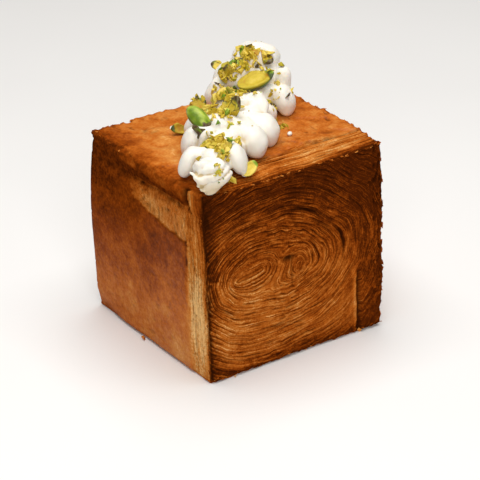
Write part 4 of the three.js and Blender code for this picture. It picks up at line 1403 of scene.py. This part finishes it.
class CROISSANT_OT_chopped(bpy.types.Operator):
    """Scatter the chopped bits over the cream"""
    bl_idname = "croissant.chopped"
    bl_label = "Chopped Bits"

    def execute(self, context):
        settings = context.scene.croissant_nuts
        littered = [name for name in NUT_PIECES if name not in KEPT_CLEAN]
        ground = laid_surface(["pastry_block", "piped_cream", *littered])
        clean = laid_surface(KEPT_CLEAN)
        draw = np.random.default_rng(RANDOM_SEED)
        bm = bmesh.new()
        values = {"shade": [], "flesh": [], "rim": [], "brown": []}

        def surface(x, y):
            above = Vector(to_row([(x, y, DROP_HEIGHT)])[0] * MM)
            down = Vector((0, 0, -1))
            hit = ground.ray_cast(above, down)[0]
            covered = clean.ray_cast(above, down)[0] is not None
            return None if hit is None or covered else hit / MM

        def chip(place, size, turn, look):
            count = len(add_chip(bm, place, size, turn, draw))
            for name, number in zip(values, look):
                values[name].extend([number] * count)

        def rest(x, y, size, turn, green, brown, lift=0.0):
            place = surface(x, y)
            if place is None:
                return
            kind = draw.uniform()
            if draw.uniform() < brown:
                look = DRIED_LOOK
            else:
                tinge = draw.uniform(0.0, 1.0) if kind < green else 0.0
                look = (draw.uniform(0.35, 1.05), float(kind >= green / 3), tinge, 0.0)
            chip(place + Vector((0, 0, CHOPPED_SUNK * min(size) + lift)), size, turn, look)

        numbers = seeded_draws(RANDOM_SEED)
        (low, high), (small, large) = CHOPPED_RUN, CHOPPED_SIZE
        for i in range(CHOPPED_COUNT):
            x = low + (high - low) * (i + next(numbers)) / CHOPPED_COUNT
            y = CHOPPED_SPREAD * (next(numbers) + next(numbers) + next(numbers) - 1.5)
            size = [small + (large - small) * next(numbers) for _ in range(3)]
            turn = Euler([next(numbers) * math.pi for _ in range(3)]).to_matrix()
            rest(x, y, size, turn, CHOPPED_GREEN, CHOPPED_BROWN)
        strewn = (*STREWN_PLACE, settings.loose, *STREWN_KIND)
        for x, y, along, across, count, small, large, green, brown, height in (*HEAPS, strewn):
            for _ in range(count):
                size = draw.uniform(small, large) * draw.uniform(*CHIP_FORM)
                turn = Euler(draw.uniform(0, math.pi, 3)).to_matrix()
                out = draw.normal(0, 1, 2)
                lift = draw.uniform(0, height) * math.exp(-out @ out)
                rest(x + along * out[0], y + across * out[1], size, turn, green, brown, lift)
        to_part = Matrix.Rotation(LINE_ANGLE, 3, "Z")
        for (x, y, lift), size, direction, facing, look in SHARDS:
            turn = to_part @ laid_along(direction, facing, (0, 0, 0)).to_3x3()
            chip(surface(x, y) + Vector((0, 0, lift)), size, turn, look)
        mesh = mesh_of("chopped_bits", bm)
        move_to(mesh, places(mesh) * MM)
        write_values(mesh, **values)
        piece = shown_piece("chopped_bits", mesh, bpy.data.materials["pistachio_nut"], "nut_flesh", "cream")
        piece.data.shade_flat()
        return {"FINISHED"}


def softbox(name, place, size, power):
    light = bpy.data.lights.new(name, "AREA")
    light.size, light.energy = size, power
    lamp = bpy.data.objects.new(name, light)
    lamp.location = place
    lamp.rotation_mode = "QUATERNION"
    lamp.rotation_quaternion = (Vector((0, 0, HEIGHT / 2 * MM)) - lamp.location).to_track_quat("-Z", "Y")
    bpy.context.scene.collection.objects.link(lamp)


def place_camera(scene):
    azimuth, elevation = math.radians(CAMERA_AZIMUTH), math.radians(CAMERA_ELEVATION)
    back = Vector((math.sin(azimuth) * math.cos(elevation), -math.cos(azimuth) * math.cos(elevation),
                   math.sin(elevation)))
    lens = bpy.data.cameras.new("camera")
    lens.lens, lens.sensor_width = CAMERA_LENS, SENSOR
    lens.clip_start, lens.clip_end = CLIP_START, CLIP_END
    camera = bpy.data.objects.new("camera", lens)
    target = Vector(CAMERA_TARGET) + Vector(CENTRE_SHIFT)
    camera.location = (target + back * CAMERA_DISTANCE) * MM
    camera.rotation_mode = "QUATERNION"
    roll = Matrix.Rotation(math.radians(CAMERA_ROLL), 3, "Z").to_quaternion()
    camera.rotation_quaternion = (-back).to_track_quat("-Z", "Y") @ roll
    scene.collection.objects.link(camera)
    scene.camera = camera


class CROISSANT_OT_stage(bpy.types.Operator):
    """Set the floor, the soft lights and the camera"""
    bl_idname = "croissant.stage"
    bl_label = "Stage"

    def execute(self, context):
        settings = context.scene.croissant_stage
        bm = bmesh.new()
        bmesh.ops.create_grid(bm, x_segments=4, y_segments=4, size=FLOOR_REACH)
        mesh = mesh_of("floor", bm)
        mesh.materials.append(pale_floor(settings))
        floor = bpy.data.objects.new("floor", mesh)
        context.scene.collection.objects.link(floor)

        softbox("overhead", OVERHEAD_PLACE, OVERHEAD_SIZE, settings.overhead)
        softbox("front", FRONT_PLACE, FRONT_SIZE, settings.front)
        world = bpy.data.worlds.new("room")
        world.use_nodes = True
        background = world.node_tree.nodes["Background"]
        background.inputs["Color"].default_value = rgba(srgb(*ROOM_COLOUR))
        background.inputs["Strength"].default_value = settings.ambient
        context.scene.world = world
        context.scene.view_settings.view_transform = "Standard"
        place_camera(context.scene)
        return {"FINISHED"}


class CROISSANT_PT_sidebar(bpy.types.Panel):
    """Pieces of the croissant, in the order they are made"""
    bl_label = "Cube Croissant"
    bl_idname = "CROISSANT_PT_sidebar"
    bl_space_type = "VIEW_3D"
    bl_region_type = "UI"
    bl_category = "Croissant"

    def draw(self, context):
        for operator in OPERATORS:
            self.layout.operator(operator.bl_idname)
        for holder in GROUPS:
            box = self.layout.box()
            settings = getattr(context.scene, holder)
            for name in GROUPS[holder].__annotations__:
                box.prop(settings, name)


GROUPS = {
    "croissant_pastry": CROISSANT_PG_pastry,
    "croissant_cream": CROISSANT_PG_cream,
    "croissant_nuts": CROISSANT_PG_nuts,
    "croissant_stage": CROISSANT_PG_stage,
}
OPERATORS = (
    CROISSANT_OT_pastry,
    CROISSANT_OT_pistachios,
    CROISSANT_OT_cream,
    CROISSANT_OT_chopped,
    CROISSANT_OT_flakes,
    CROISSANT_OT_stage,
)
CLASSES = (*GROUPS.values(), *OPERATORS, CROISSANT_PT_sidebar)


def register():
    for made in CLASSES:
        bpy.utils.register_class(made)
    for holder, group in GROUPS.items():
        setattr(bpy.types.Scene, holder, PointerProperty(type=group))


def unregister():
    for holder in GROUPS:
        delattr(bpy.types.Scene, holder)
    for made in reversed(CLASSES):
        bpy.utils.unregister_class(made)


def main():
    register()
    bpy.ops.croissant.pastry()
    bpy.ops.croissant.pistachios()
    bpy.ops.croissant.cream()
    bpy.ops.croissant.chopped()
    bpy.ops.croissant.flakes()
    bpy.ops.croissant.stage()


if __name__ == "__main__":
    main()
